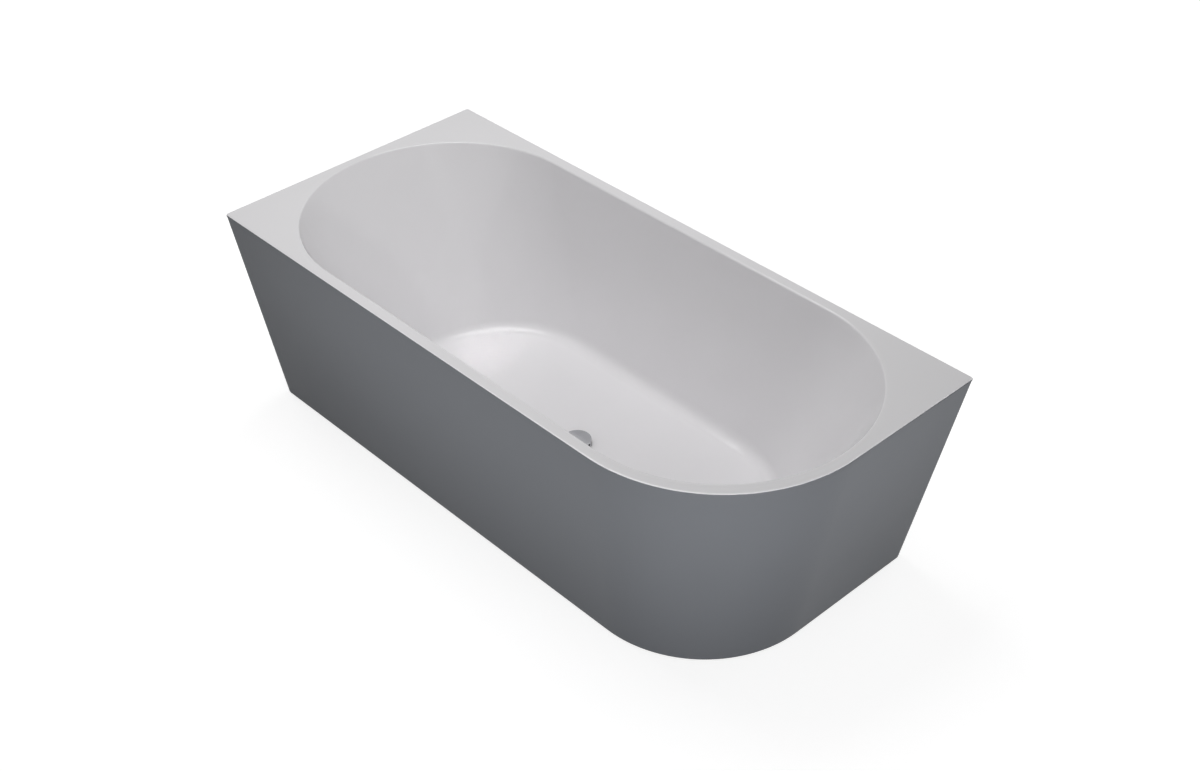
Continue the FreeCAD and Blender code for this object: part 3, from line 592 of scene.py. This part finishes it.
def make_skirt(gloss, backing):
    """The moulding of the skirt, dark as painted shade: down its outside, over the base flange and up its
    inside.
    """
    loops = []
    for turn in spaced(0, QUARTER, SKIRT_TOP_STEPS):
        inset = SKIRT_TOP_ROUND * (1 - math.sin(turn))
        loops.append(skirt_loop(SKIRT_TOP - SKIRT_TOP_ROUND * (1 - math.cos(turn)), inset))
    wall_top = SKIRT_TOP - SKIRT_TOP_ROUND
    wall_bottom = SKIRT_BOTTOM + SKIRT_BOTTOM_ROUND
    levels = spaced(wall_top - EDGE_SUPPORT, wall_bottom + EDGE_SUPPORT, SKIRT_STEPS) + [wall_bottom]
    for level in levels:
        loops.append(skirt_loop(level, 0))
    for turn in spaced(0, QUARTER, SKIRT_BOTTOM_STEPS)[1:]:
        inset = SKIRT_BOTTOM_ROUND * (1 - math.cos(turn))
        loops.append(skirt_loop(wall_bottom - SKIRT_BOTTOM_ROUND * math.sin(turn), inset))
    outside = len(loops) - 1
    base_mouth = SKIRT_WALL + BASE_FLANGE_WIDTH
    loops.append(skirt_loop(SKIRT_BOTTOM, base_mouth, flange=True))
    loops.append(skirt_loop(BASE_FLANGE_TOP, base_mouth, flange=True))
    for level in spaced(BASE_FLANGE_TOP, TOP_FLANGE_BOTTOM, SKIRT_STEPS):
        loops.append(skirt_loop(level, SKIRT_WALL, inner=True))
    top_mouth = SKIRT_WALL + TOP_FLANGE_WIDTH
    loops.append(skirt_loop(TOP_FLANGE_BOTTOM, top_mouth, flange=True))
    loops.append(skirt_loop(SKIRT_TOP, top_mouth, flange=True))
    loop_materials = [GLOSS if row < outside else BACKING for row in range(len(loops))]
    shape = Shape()
    shape.skin(loops, loop_materials, ring=True)
    shape.make("skirt_moulding", [gloss, backing], "tub", ["outer_skirt"], sharp=60)


# Waste fitting and plug

ROUND_PART_STEPS = 96


def make_plug_cap(chrome):
    flat = CAP_RADIUS - CAP_ROUND
    loops = softly_turned([
        (STEM_RADIUS + FIT_GAP, HUB_BOTTOM, 0), (HUB_RADIUS, HUB_BOTTOM, 0.6),
        (HUB_RADIUS, CAP_BOTTOM, 0), (CAP_RADIUS, CAP_BOTTOM, 0.5), (CAP_RADIUS, CAP_TOP, CAP_ROUND),
        (flat - CAP_SUPPORT, CAP_TOP, 0), (flat / 2, CAP_TOP, 0),
    ], ROUND_PART_STEPS, bend=6)
    make_piece("plug_cap_disc", loops, chrome, "plug", "plug_cap")


def make_plug_seal(rubber):
    land = SEAL_RADIUS - SEAL_LAND
    relief = SEAL_BOTTOM + SEAL_RELIEF
    loops = softly_turned([
        (SEAL_INNER, relief, 0.3), (land - SEAL_RAMP, relief, 0.3),
        (land, SEAL_BOTTOM, 0.4), (SEAL_RADIUS - SEAL_TAPER, SEAL_BOTTOM, 0.8),
        (SEAL_RADIUS, CAP_BOTTOM, 0.3), (SEAL_INNER, CAP_BOTTOM, 0),
    ], ROUND_PART_STEPS)
    make_piece("plug_seal_ring", loops, rubber, "plug", "plug_seal", ring=True)


def make_plug_stem(brass):
    loops = softly_turned([
        (STEM_RADIUS - STEM_TIP, STEM_BOTTOM, 0), (STEM_RADIUS, STEM_BOTTOM + STEM_TIP, 0.3),
        *groove(STEM_RADIUS, *STEM_GROOVE), (STEM_RADIUS, STEM_TOP, 0),
    ], ROUND_PART_STEPS // 2)
    make_piece("plug_stem_turned", loops, brass, "plug", "plug_stem")


def add_spoke(shape, turn):
    """One arm of the cross inside the waste, from its boss into the wall."""
    half = SPOKE_WIDTH / 2
    section = [
        (-half, SPOKE_BOTTOM + SPOKE_KEEL), (0, SPOKE_BOTTOM), (half, SPOKE_BOTTOM + SPOKE_KEEL),
        (half, BOSS_TOP - SPOKE_EDGE), (half - SPOKE_EDGE, BOSS_TOP),
        (SPOKE_EDGE - half, BOSS_TOP), (-half, BOSS_TOP - SPOKE_EDGE),
    ]
    ends = []
    for reach in (SPOKE_ROOT, (BORE_RADIUS + TAIL_RADIUS) / 2):
        ends.append([
            (reach * math.cos(turn) - across * math.sin(turn),
             reach * math.sin(turn) + across * math.cos(turn), level)
            for across, level in section
        ])
    shape.skin(ends)


def make_waste_fitting(chrome):
    root = WASTE_THREAD - WASTE_THREAD_DEPTH
    shape = Shape()
    shape.skin(softly_turned([
        (BORE_RADIUS, TAIL_BOTTOM, 0.6), (TAIL_RADIUS, TAIL_BOTTOM, 0.8),
        (TAIL_RADIUS, WASTE_THREAD_BOTTOM - TAIL_SHOULDER, 0), (root, WASTE_THREAD_BOTTOM, 0),
        (root, FLANGE_UNDERSIDE, 0), (FLANGE_RADIUS, FLANGE_UNDERSIDE, 0.4),
        (FLANGE_RADIUS, FLOOR_LOW - FLANGE_EDGE, 0.6), (FLANGE_RADIUS - FLANGE_CROWN, FLOOR_LOW, 2),
        (SEAT_RADIUS + SEAT_LAND, FLOOR_LOW, 0), (SEAT_RADIUS, FLOOR_LOW, 1.2),
        (BORE_RADIUS, SEAT_BOTTOM, 1),
    ], ROUND_PART_STEPS, bend=6), ring=True)
    thread_top = FLANGE_UNDERSIDE - WASTE_THREAD_END
    add_thread(shape, WASTE_THREAD, root, WASTE_THREAD_PITCH, WASTE_THREAD_BOTTOM, thread_top,
               ROUND_PART_STEPS)
    for spoke in range(SPOKES):
        add_spoke(shape, 2 * math.pi * spoke / SPOKES)
    bore = SHANK_RADIUS + FIT_GAP
    shape.skin(softly_turned([
        (BOSS_RADIUS, BOSS_BOTTOM, 1), (BOSS_RADIUS, BOSS_TOP, 0.6), (bore, BOSS_TOP, 0.3),
        (bore, BOSS_BOTTOM + BOSS_FLOOR, 0),
    ], ROUND_PART_STEPS // 2))
    shape.make("waste_fitting", [chrome], "tub", ["waste_body"])


def make_waste_rings(rubber, plastic):
    loops = softly_turned([
        (HOLE_RADIUS, WASHER_BOTTOM, 0.3), (WASHER_RADIUS, WASHER_BOTTOM, 1),
        (WASHER_RADIUS, SHELL_BOTTOM, 0.6), (HOLE_RADIUS, SHELL_BOTTOM, 0),
    ], ROUND_PART_STEPS)
    make_piece("waste_washer_ring", loops, rubber, "tub", "waste_washer", ring=True)
    loops = hex_nut(BACKNUT_RADIUS, BACKNUT_BORE, BACKNUT_BOTTOM, WASHER_BOTTOM, BACKNUT_BEVEL)
    make_piece("waste_backnut_hex", loops, plastic, "tub", "waste_backnut", ring=True)


def make_cartridge(brass):
    loops = softly_turned([
        (SHANK_RADIUS - SHANK_TIP, SHANK_BOTTOM, 0), (SHANK_RADIUS, SHANK_BOTTOM + SHANK_TIP, 0),
        (SHANK_RADIUS, BOSS_TOP, 0), (CARTRIDGE_RADIUS, BOSS_TOP, 0.5),
        *groove(CARTRIDGE_RADIUS, *CARTRIDGE_GROOVE), (CARTRIDGE_RADIUS, CARTRIDGE_TOP, 0.8),
        (CARTRIDGE_BORE, CARTRIDGE_TOP, 0.4), (CARTRIDGE_BORE, CARTRIDGE_FLOOR, 0),
    ], ROUND_PART_STEPS // 2)
    make_piece("popup_cartridge_turned", loops, brass, "tub", "popup_cartridge")


SPRING_STEPS, WIRE_STEPS = 28, 12


def make_spring(steel):
    """The wire under the stem, made at its length with the plug up. The real wire is pressed together as
    the plug goes down.
    """
    low = CARTRIDGE_FLOOR + SPRING_GAP + SPRING_WIRE
    high = STEM_BOTTOM - SPRING_GAP - SPRING_WIRE
    steps = SPRING_TURNS * SPRING_STEPS
    loops = []
    for step in range(steps + 1):
        turn = 2 * math.pi * step / SPRING_STEPS
        out = Vector((math.cos(turn), math.sin(turn), 0))
        middle = out * SPRING_COIL + Vector((0, 0, low + (high - low) * step / steps))
        across, down = out * SPRING_WIRE, Vector((0, 0, -SPRING_WIRE))
        loops.append([
            tuple(middle + across * math.cos(angle) + down * math.sin(angle))
            for angle in spaced(0, 2 * math.pi, WIRE_STEPS)[:-1]
        ])
    spring = make_piece("popup_spring_coil", loops, steel, "tub", "popup_spring")
    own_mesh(spring)


# Frame and feet

def make_foot(name, x, y, rubber, zinc):
    """Pad, threaded stud and the two nuts of one foot."""
    loops = softly_turned([
        (PAD_RADIUS - PAD_SOLE_INSET, 0, 0.5), (PAD_RADIUS, PAD_SOLE_RISE, 0.8),
        (PAD_RADIUS, PAD_RIM, 1), (PAD_RADIUS - PAD_SHOULDER, PAD_RIM + PAD_STEP, 0.8),
        (PAD_TOP_RADIUS + PAD_NECK, PAD_HEIGHT - PAD_STEP, 1.2), (PAD_TOP_RADIUS, PAD_HEIGHT, 0.6),
        (PAD_SOCKET, PAD_HEIGHT, 0.4), (PAD_SOCKET, PAD_FLOOR, 0),
    ], ROUND_PART_STEPS // 2, x, y)
    make_piece(f"{name}_pad_turned", loops, rubber, name, f"{name}_pad")
    shape = Shape()
    pivot = [
        (STUD_RADIUS - STUD_CHAMFER, STUD_BOTTOM), (STUD_RADIUS, STUD_BOTTOM + STUD_CHAMFER),
        (STUD_RADIUS, PAD_HEIGHT + STUD_JOIN),
    ]
    shape.skin(turned(pivot, HEX_STEPS // 2, x, y))
    shape.skin(hexagon(COLLAR_RADIUS, PAD_HEIGHT, COLLAR_TOP, x, y))
    tip = STUD_TOP - STUD_TIP
    start = COLLAR_TOP - SCREW_JOIN
    add_thread(shape, STUD_RADIUS, STUD_ROOT, STUD_PITCH, start, tip, HEX_STEPS // 2, x, y)
    end = [(STUD_ROOT, tip - STUD_JOIN), (STUD_ROOT, tip), (STUD_RADIUS - STUD_TIP, STUD_TOP)]
    shape.skin(turned(end, HEX_STEPS // 2, x, y))
    shape.make(f"{name}_stud_threaded", [zinc], f"{name}_screw", [f"{name}_stud"], sharp=35)
    for kind, low, high in (
        ("weld_nut", WELD_NUT_BOTTOM, BAR_BOTTOM),
        ("lock_nut", LOCK_NUT_BOTTOM, WELD_NUT_BOTTOM),
    ):
        loops = hex_nut(NUT_RADIUS, NUT_BORE, low, high, NUT_BEVEL, x, y)
        make_piece(f"{name}_{kind}_hex", loops, zinc, "tub", f"{name}_{kind}", ring=True)


def make_feet(rubber, zinc):
    for row, y in (("front", FOOT_FRONT), ("back", FOOT_BACK)):
        for side, x in (("left", -BAR_X), ("right", BAR_X)):
            make_foot(f"foot_{row}_{side}", x, y, rubber, zinc)


def make_screws(zinc):
    """The heads and shanks of the screws of the rails and of the brackets."""
    shape = Shape()
    bite = BOARD_BOTTOM + RAIL_SCREW_BITE
    shank = [(RAIL_SCREW_RADIUS, RAIL_BOTTOM - SCREW_JOIN), (RAIL_SCREW_RADIUS, bite - RAIL_SCREW_POINT),
             (RAIL_SCREW_TIP, bite)]
    for y in (-RAIL_Y, RAIL_Y):
        for x in (-RAIL_SCREW_X, 0, RAIL_SCREW_X):
            shape.skin(hexagon(RAIL_SCREW_HEAD, RAIL_BOTTOM - RAIL_SCREW_HEAD_HEIGHT, RAIL_BOTTOM, x, y))
            shape.skin(turned(shank, SCREW_STEPS, x, y))
    shape.make("rail_screws_hex", [zinc], "tub", ["rail_screws"])
    shape = Shape()
    top = BRACKET_SCREW_SEAT + BRACKET_SCREW_HEAD_HEIGHT
    shank = [(BRACKET_SCREW_TIP, BRACKET_SCREW_BOTTOM),
             (BRACKET_SCREW_RADIUS, BRACKET_SCREW_BOTTOM + BRACKET_SCREW_POINT),
             (BRACKET_SCREW_RADIUS, BRACKET_SCREW_SEAT + SCREW_JOIN)]
    for bar in (-BAR_X, BAR_X):
        for x in (bar - BRACKET_SCREW_SPREAD, bar + BRACKET_SCREW_SPREAD):
            for y in (BAR_FRONT - BRACKET_SCREW_REACH, BAR_BACK + BRACKET_SCREW_REACH):
                shape.skin(hexagon(BRACKET_SCREW_HEAD, BRACKET_SCREW_SEAT, top, x, y))
                shape.skin(turned(shank, SCREW_STEPS, x, y))
    shape.make("bracket_screws_hex", [zinc], "tub", ["bracket_screws"])


WELD_RADIUS, WELD_INSET = 2.4, 2
# three short runs at each weld nut, with shares of the nut's and of the other runs' radius
NUT_WELD_TURNS, NUT_WELD_HALF = (30, 150, 270), 22
NUT_WELD_REACH, NUT_WELD_SIZE, NUT_WELD_DROP = 0.93, 0.75, 0.3


def make_welds(steel):
    """Runs of weld where rails cross bars, round the ends of the bars and at the nuts."""
    shape = Shape()
    half = TUBE / 2
    inner = half - WELD_INSET
    reach = NUT_RADIUS * NUT_WELD_REACH
    for bar in (-BAR_X, BAR_X):
        for rail in (-RAIL_Y, RAIL_Y):
            for side in (-half, half):
                for start, end in (
                    ((bar - half, rail + side), (bar + half, rail + side)),
                    ((bar + side, rail - half), (bar + side, rail + half)),
                ):
                    add_bead(shape, (*start, RAIL_BOTTOM), (*end, RAIL_BOTTOM), WELD_RADIUS)
        for end in (BAR_FRONT, BAR_BACK):
            for side in (-half, half):
                start = (bar + side, end, BAR_BOTTOM + WELD_INSET)
                add_bead(shape, start, (bar + side, end, RAIL_BOTTOM - WELD_INSET), WELD_RADIUS)
            add_bead(shape, (bar - inner, end, BAR_BOTTOM), (bar + inner, end, BAR_BOTTOM), WELD_RADIUS)
        for foot in (FOOT_FRONT, FOOT_BACK):
            for turn in NUT_WELD_TURNS:
                ends = []
                for angle in (turn - NUT_WELD_HALF, turn + NUT_WELD_HALF):
                    at = spot(bar, foot, reach, math.radians(angle))
                    ends.append((*at, BAR_BOTTOM - NUT_WELD_DROP))
                add_bead(shape, *ends, WELD_RADIUS * NUT_WELD_SIZE)
    shape.make("frame_welds", [steel], "tub", [], sharp=60)


BOND_WIDTH, BOND_STEPS, BOND_BITE, BOND_TUCK = 11, 5, 0.5, 1


def make_bonding(resin):
    """The run of resin that bonds the edge of the board to the underside of the basin."""
    board_plan = {
        "left": BOARD_LENGTH / 2, "right": BOARD_LENGTH / 2, "front": BOARD_WIDTH / 2,
        "back": BOARD_WIDTH / 2, "main_radius": BOARD_CORNER, "radius": BOARD_CORNER,
    }

    def board_loop(outwards, level):
        return plan_loop({key: size + outwards for key, size in board_plan.items()}, level)

    top = SHELL_BOTTOM + BOND_BITE
    loops = []
    for turn in spaced(0, QUARTER, BOND_STEPS):
        outwards = BOND_WIDTH * (1 - math.sin(turn))
        loops.append(board_loop(outwards, top - BOND_WIDTH * (1 - math.cos(turn))))
    loops.append(board_loop(-BOND_TUCK, SHELL_BOTTOM - BOND_WIDTH))
    loops.append(board_loop(-BOND_TUCK, top))
    shape = Shape()
    shape.skin(loops[::-1], ring=True)
    shape.make("board_bonding", [resin], "tub", [], sharp=60)


# Materials

class Nodes:
    """A material with its shader, and short calls that add and join nodes."""

    def __init__(self, name):
        self.material = bpy.data.materials.new(name)
        self.material.use_nodes = True
        self.tree = self.material.node_tree
        self.shader = self.tree.nodes["Principled BSDF"]

    def add(self, kind, **values):
        """A node with some of its inputs, by name with _ for a space, and settings."""
        node = self.tree.nodes.new(kind)
        for key, value in values.items():
            name = key.replace("_", " ")
            if name in node.inputs:
                node.inputs[name].default_value = value
            else:
                setattr(node, key, value)
        return node

    def join(self, output, target):
        self.tree.links.new(output, target)

    def feed(self, output, socket):
        """Join an output to a socket of the shader."""
        self.join(output, self.shader.inputs[socket])

    def place(self, stretch=None):
        """Coordinates of the piece itself, in metres, or scaled along each axis."""
        place = self.add("ShaderNodeTexCoord").outputs["Object"]
        if not stretch:
            return place
        mapping = self.add("ShaderNodeMapping", Scale=stretch)
        self.join(place, mapping.inputs["Vector"])
        return mapping.outputs["Vector"]

    def noise(self, scale, detail=3, roughness=0.5, stretch=None):
        node = self.add("ShaderNodeTexNoise", Scale=scale, Detail=detail, Roughness=roughness)
        self.join(self.place(stretch), node.inputs["Vector"])
        return node.outputs["Fac"]

    def cells(self, scale, stretch=None):
        """A value of its own for each cell of a crowd of small grains."""
        node = self.add("ShaderNodeTexVoronoi", Scale=scale)
        self.join(self.place(stretch), node.inputs["Vector"])
        parts = self.add("ShaderNodeSeparateColor")
        self.join(node.outputs["Color"], parts.inputs["Color"])
        return parts.outputs["Red"]

    def ramp(self, value, stops):
        """A colour for each share of a value, as (share, colour) stops."""
        node = self.add("ShaderNodeValToRGB")
        elements = node.color_ramp.elements
        while len(elements) < len(stops):
            elements.new(1)
        for element, (share, colour) in zip(elements, stops):
            element.position = share
            element.color = (*colour, 1)
        self.join(value, node.inputs["Fac"])
        return node.outputs["Color"]

    def spread(self, value, low, high):
        """A value from 0 to 1, spread over a range."""
        node = self.add("ShaderNodeMapRange", To_Min=low, To_Max=high)
        self.join(value, node.inputs["Value"])
        return node.outputs["Result"]

    def mottle(self, scale, colour, low, high, edges=(0.3, 0.7)):
        """Base colour that drifts between a darker and a lighter share of a colour."""
        stops = [(edge, shade(colour, share)) for edge, share in zip(edges, (low, high))]
        self.feed(self.ramp(self.noise(scale), stops), "Base Color")

    def haze(self, scale, low, high):
        """Roughness that drifts over a range."""
        self.feed(self.spread(self.noise(scale), low, high), "Roughness")

    def bump(self, value, strength, distance):
        """Raise the surface by a value, a distance in metres."""
        node = self.add("ShaderNodeBump", Strength=strength, Distance=distance)
        self.join(value, node.inputs["Height"])
        self.feed(node.outputs["Normal"], "Normal")

    def set(self, **values):
        for key, value in values.items():
            self.shader.inputs[key.replace("_", " ")].default_value = value


def shade(colour, share):
    return tuple(min(1, part * share) for part in colour)


def gloss_acrylic(name, colour, roughness, specular):
    """Cast acrylic: an even gloss with a faint long wave and a trace of haze."""
    nodes = Nodes(name)
    nodes.mottle(scale=2.2, colour=colour, low=0.985, high=1.015)
    nodes.haze(scale=9, low=roughness * 0.85, high=roughness * 1.15)
    nodes.bump(nodes.noise(scale=26, detail=1), strength=0.25, distance=0.00003)
    nodes.set(IOR=1.49, Specular_IOR_Level=specular)
    return nodes.material


def glass_fibre(name, colour):
    """The laminate behind the acrylic: resin over chopped strands."""
    nodes = Nodes(name)
    strands = nodes.noise(scale=70, detail=4, roughness=0.7, stretch=(1, 3.2, 1.6))
    stops = [(0.3, shade(colour, 0.72)), (0.55, colour), (0.8, shade(colour, 1.15))]
    nodes.feed(nodes.ramp(strands, stops), "Base Color")
    nodes.haze(scale=20, low=0.35, high=0.7)
    nodes.bump(strands, strength=0.6, distance=0.0008)
    return nodes.material


METAL_GRAIN, METAL_SPREAD = 60, 0.35


def metal(name, colour, roughness, cloud=0.08):
    """Bare metal: an even colour with patches of haze and a fine grain."""
    nodes = Nodes(name)
    low, high = 1 - METAL_SPREAD, 1 + METAL_SPREAD
    nodes.mottle(scale=METAL_GRAIN, colour=colour, low=1 - cloud, high=1 + cloud)
    nodes.haze(scale=METAL_GRAIN * 3, low=roughness * low, high=roughness * high)
    nodes.bump(nodes.noise(scale=METAL_GRAIN * 20, detail=2), strength=0.08, distance=0.0002)
    nodes.set(Metallic=1)
    return nodes.material


def zinc_plate(name):
    """Zinc on steel: crystals of slightly different brightness under a dull film."""
    nodes = Nodes(name)
    stops = [(0, (0.40, 0.41, 0.42)), (0.5, (0.54, 0.55, 0.57)), (1, (0.66, 0.66, 0.65))]
    nodes.feed(nodes.ramp(nodes.cells(scale=420), stops), "Base Color")
    nodes.haze(scale=90, low=0.28, high=0.5)
    nodes.bump(nodes.noise(scale=900, detail=2), strength=0.15, distance=0.0002)
    nodes.set(Metallic=1)
    return nodes.material


def powder_coat(name, colour):
    """Baked powder on steel: satin, with the skin of an orange."""
    nodes = Nodes(name)
    nodes.mottle(scale=40, colour=colour, low=0.85, high=1.15, edges=(0.35, 0.65))
    nodes.haze(scale=160, low=0.32, high=0.46)
    nodes.bump(nodes.noise(scale=700, detail=1), strength=0.35, distance=0.0003)
    return nodes.material


def moulded(name, colour, roughness, grain):
    """Moulded plastic or rubber with a fine, even grain."""
    nodes = Nodes(name)
    nodes.mottle(scale=25, colour=colour, low=0.8, high=1.3)
    nodes.haze(scale=120, low=roughness - 0.08, high=roughness + 0.08)
    nodes.bump(nodes.noise(scale=grain, detail=2), strength=0.3, distance=0.0003)
    return nodes.material


def particle_board(name):
    """Pressed chips in several browns, each its own flake."""
    nodes = Nodes(name)
    chips = nodes.cells(scale=260, stretch=(1, 2.6, 1.7))
    stops = [(0, (0.24, 0.15, 0.08)), (0.25, (0.45, 0.32, 0.18)),
             (0.6, (0.58, 0.44, 0.27)), (1, (0.70, 0.57, 0.38))]
    nodes.feed(nodes.ramp(chips, stops), "Base Color")
    nodes.haze(scale=50, low=0.7, high=0.95)
    nodes.bump(chips, strength=0.4, distance=0.0006)
    return nodes.material


def dress(node, material):
    """Give a solid of the frame its material."""
    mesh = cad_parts[node].data
    mesh.materials.clear()
    mesh.materials.append(material)


# Stage

def look_axes(azimuth, elevation, roll):
    """Right, up and backward directions of a camera that looks at the object from an angle."""
    azimuth, elevation, roll = (math.radians(angle) for angle in (azimuth, elevation, roll))
    back = Vector((
        math.sin(azimuth) * math.cos(elevation),
        -math.cos(azimuth) * math.cos(elevation),
        math.sin(elevation),
    ))
    right = Vector((0, 0, 1)).cross(back).normalized()
    up = back.cross(right)
    turned_right = right * math.cos(roll) + up * math.sin(roll)
    turned_up = up * math.cos(roll) - right * math.sin(roll)
    return turned_right, turned_up, back


# the camera of the photo: angles in degrees, its offset in millimetres, and its lens in pixels
PHOTO_AZIMUTH, PHOTO_ELEVATION, PHOTO_ROLL = 47.35, 37.17, -0.93
PHOTO_OFFSET = (-54.27, 257.3, 4419.61)
LENS_PIXELS, PHOTO_PIXELS, SENSOR = 1754.92, 1200, 36


def make_camera():
    data = bpy.data.cameras.new("camera")
    data.sensor_fit = "HORIZONTAL"
    data.sensor_width = SENSOR
    data.lens = LENS_PIXELS / PHOTO_PIXELS * SENSOR
    camera = add_object("camera", data)
    right, up, back = look_axes(PHOTO_AZIMUTH, PHOTO_ELEVATION, PHOTO_ROLL)
    across, down, away = PHOTO_OFFSET
    place = (back * away + up * down - right * across) * MM
    turn = Matrix((right, up, back)).transposed().to_4x4()
    camera.matrix_world = Matrix.Translation(place) @ turn
    bpy.context.scene.camera = camera


def make_lamp(name, place, target, size, power, spread=180, mirrored=False):
    """A soft lamp, in metres, watts and degrees. A mirrored one shows in gloss and chrome."""
    data = bpy.data.lights.new(name, "AREA")
    data.shape = "RECTANGLE"
    data.size, data.size_y = size
    data.energy = power
    data.spread = math.radians(spread)
    lamp = add_object(name, data)
    lamp.location = place
    lamp.rotation_euler = (Vector(target) - Vector(place)).to_track_quat("-Z", "Y").to_euler()
    lamp.visible_camera = False
    lamp.visible_glossy = mirrored


def seen_directly(tree):
    """One where a camera, mirror or glass ray looks, nought for light that is scattered."""
    path = tree.nodes.new("ShaderNodeLightPath")
    total = path.outputs["Is Camera Ray"]
    for name in ("Is Glossy Ray", "Is Transmission Ray"):
        either = tree.nodes.new("ShaderNodeMath")
        either.operation = "MAXIMUM"
        tree.links.new(total, either.inputs[0])
        tree.links.new(path.outputs[name], either.inputs[1])
        total = either.outputs[0]
    return total


AMBIENT = 0.12


def make_world():
    """White to the eye and in mirrors, and a low even light on everything else."""
    world = bpy.data.worlds.new("studio")
    bpy.context.scene.world = world
    world.use_nodes = True
    tree = world.node_tree
    background = tree.nodes["Background"]
    background.inputs["Color"].default_value = (1, 1, 1, 1)
    strength = tree.nodes.new("ShaderNodeMapRange")
    strength.inputs["To Min"].default_value = AMBIENT
    strength.inputs["To Max"].default_value = 1
    tree.links.new(seen_directly(tree), strength.inputs["Value"])
    tree.links.new(strength.outputs["Result"], background.inputs["Strength"])


FLOOR_REACH = 30
# its grey for scattered light and for the eye, and its glow near the tub and far from it
FLOOR_BOUNCE, FLOOR_SHADE = 0.14, 0.45
FLOOR_NEAR, FLOOR_FAR = 1.0, 2.6
NEAR_GLOW, FAR_GLOW = 0.78, 0.98


def floor_material():
    """Almost white where it is looked at, and dimmer where the tub's shadow falls."""
    nodes = Nodes("floor")
    nodes.set(Roughness=1, Specular_IOR_Level=0, Emission_Color=(1, 1, 1, 1))
    seen = seen_directly(nodes.tree)
    nodes.feed(nodes.spread(seen, FLOOR_BOUNCE, FLOOR_SHADE), "Base Color")
    distance = nodes.add("ShaderNodeVectorMath", operation="LENGTH")
    nodes.join(nodes.add("ShaderNodeNewGeometry").outputs["Position"], distance.inputs[0])
    level = nodes.add("ShaderNodeMapRange", interpolation_type="SMOOTHSTEP", From_Min=FLOOR_NEAR,
                      From_Max=FLOOR_FAR, To_Min=NEAR_GLOW, To_Max=FAR_GLOW)
    nodes.join(distance.outputs["Value"], level.inputs["Value"])
    glow = nodes.add("ShaderNodeMath", operation="MULTIPLY")
    nodes.join(seen, glow.inputs[0])
    nodes.join(level.outputs["Result"], glow.inputs[1])
    nodes.feed(glow.outputs[0], "Emission Strength")
    return nodes.material


def make_floor():
    mesh = bpy.data.meshes.new("floor")
    far = FLOOR_REACH
    corners = [(-far, -far, 0), (far, -far, 0), (far, far, 0), (-far, far, 0)]
    mesh.from_pydata(corners, [], [(0, 1, 2, 3)])
    mesh.materials.append(floor_material())
    add_object("floor", mesh)


# The scene

white = gloss_acrylic("gloss_white_acrylic", (0.87, 0.86, 0.875), roughness=0.14, specular=0.5)
# painted shade: the skirt takes the white acrylic's gloss in a darker colour, for the shade that falls on
# the tub's sides
painted_shade_grey = gloss_acrylic("satin_acrylic_painted_shade", (0.212, 0.222, 0.242), roughness=0.34, specular=0.03)
laminate = glass_fibre("glass_fibre_laminate", (0.62, 0.57, 0.44))
chrome = metal("polished_chrome", (0.58, 0.59, 0.61), roughness=0.035, cloud=0.012)
brass = metal("turned_brass", (0.72, 0.54, 0.27), roughness=0.24)
spring_steel = metal("drawn_spring_steel", (0.5, 0.51, 0.53), roughness=0.3)
zinc = zinc_plate("zinc_plated_steel")
powder = powder_coat("black_powder_coat", (0.07, 0.07, 0.075))
plastic = moulded("black_moulded_plastic", (0.028, 0.028, 0.03), roughness=0.45, grain=900)
rubber = moulded("black_moulded_rubber", (0.02, 0.02, 0.021), roughness=0.75, grain=500)
board = particle_board("particle_board")

make_basin(white, laminate, painted_shade_grey)
make_skirt(painted_shade_grey, laminate)
make_plug_cap(chrome)
make_plug_seal(rubber)
make_plug_stem(brass)
make_waste_fitting(chrome)
make_waste_rings(rubber, plastic)
make_cartridge(brass)
make_spring(spring_steel)
make_feet(rubber, zinc)
make_screws(zinc)
make_welds(powder)
make_bonding(laminate)

dress("base_board", board)
dress("rail_end_caps", plastic)
dress("waste_flange_gasket", rubber)
for row in ("front", "back"):
    dress(f"frame_rail_{row}", powder)
    for side in ("left", "right"):
        dress(f"skirt_bracket_{row}_{side}", powder)
for side in ("left", "right"):
    dress(f"frame_crossbar_{side}", powder)

make_camera()
make_world()
make_floor()
make_lamp("top", place=(-0.45, 0, 2.7), target=(-0.3, 0, 0.4), size=(1.8, 1.6), power=30.8, mirrored=True)
make_lamp("pool", place=(-0.44, 0.08, 2.4), target=(-0.44, 0.08, 0.15), size=(0.1, 0.16), power=0.010,
          spread=4.5)
make_lamp("fill", place=(2.6, -1.7, 2.5), target=(-0.4, 0.1, 0.5), size=(1.2, 1.2), power=15)
make_lamp("corner", place=(3.4, -2.2, 0.42), target=(0.4, -0.1, 0.35), size=(1.5, 0.3), power=19)
make_lamp("front", place=(0.85, -1.9, 0.52), target=(0.85, 0, 0.5), size=(3.1, 0.16), power=3.4, spread=60)
make_lamp("right", place=(2.3, -0.5, 0.52), target=(0, -0.5, 0.5), size=(2.0, 0.16), power=1.8, spread=60)
make_lamp("left", place=(-2.3, 0, 0.5), target=(0, 0, 0.5), size=(1.6, 0.2), power=4.5, spread=90)
make_lamp("back", place=(0, 2.1, 0.5), target=(0, 0, 0.5), size=(3.0, 0.2), power=8, spread=90)
bpy.context.scene.view_settings.view_transform = "Standard"
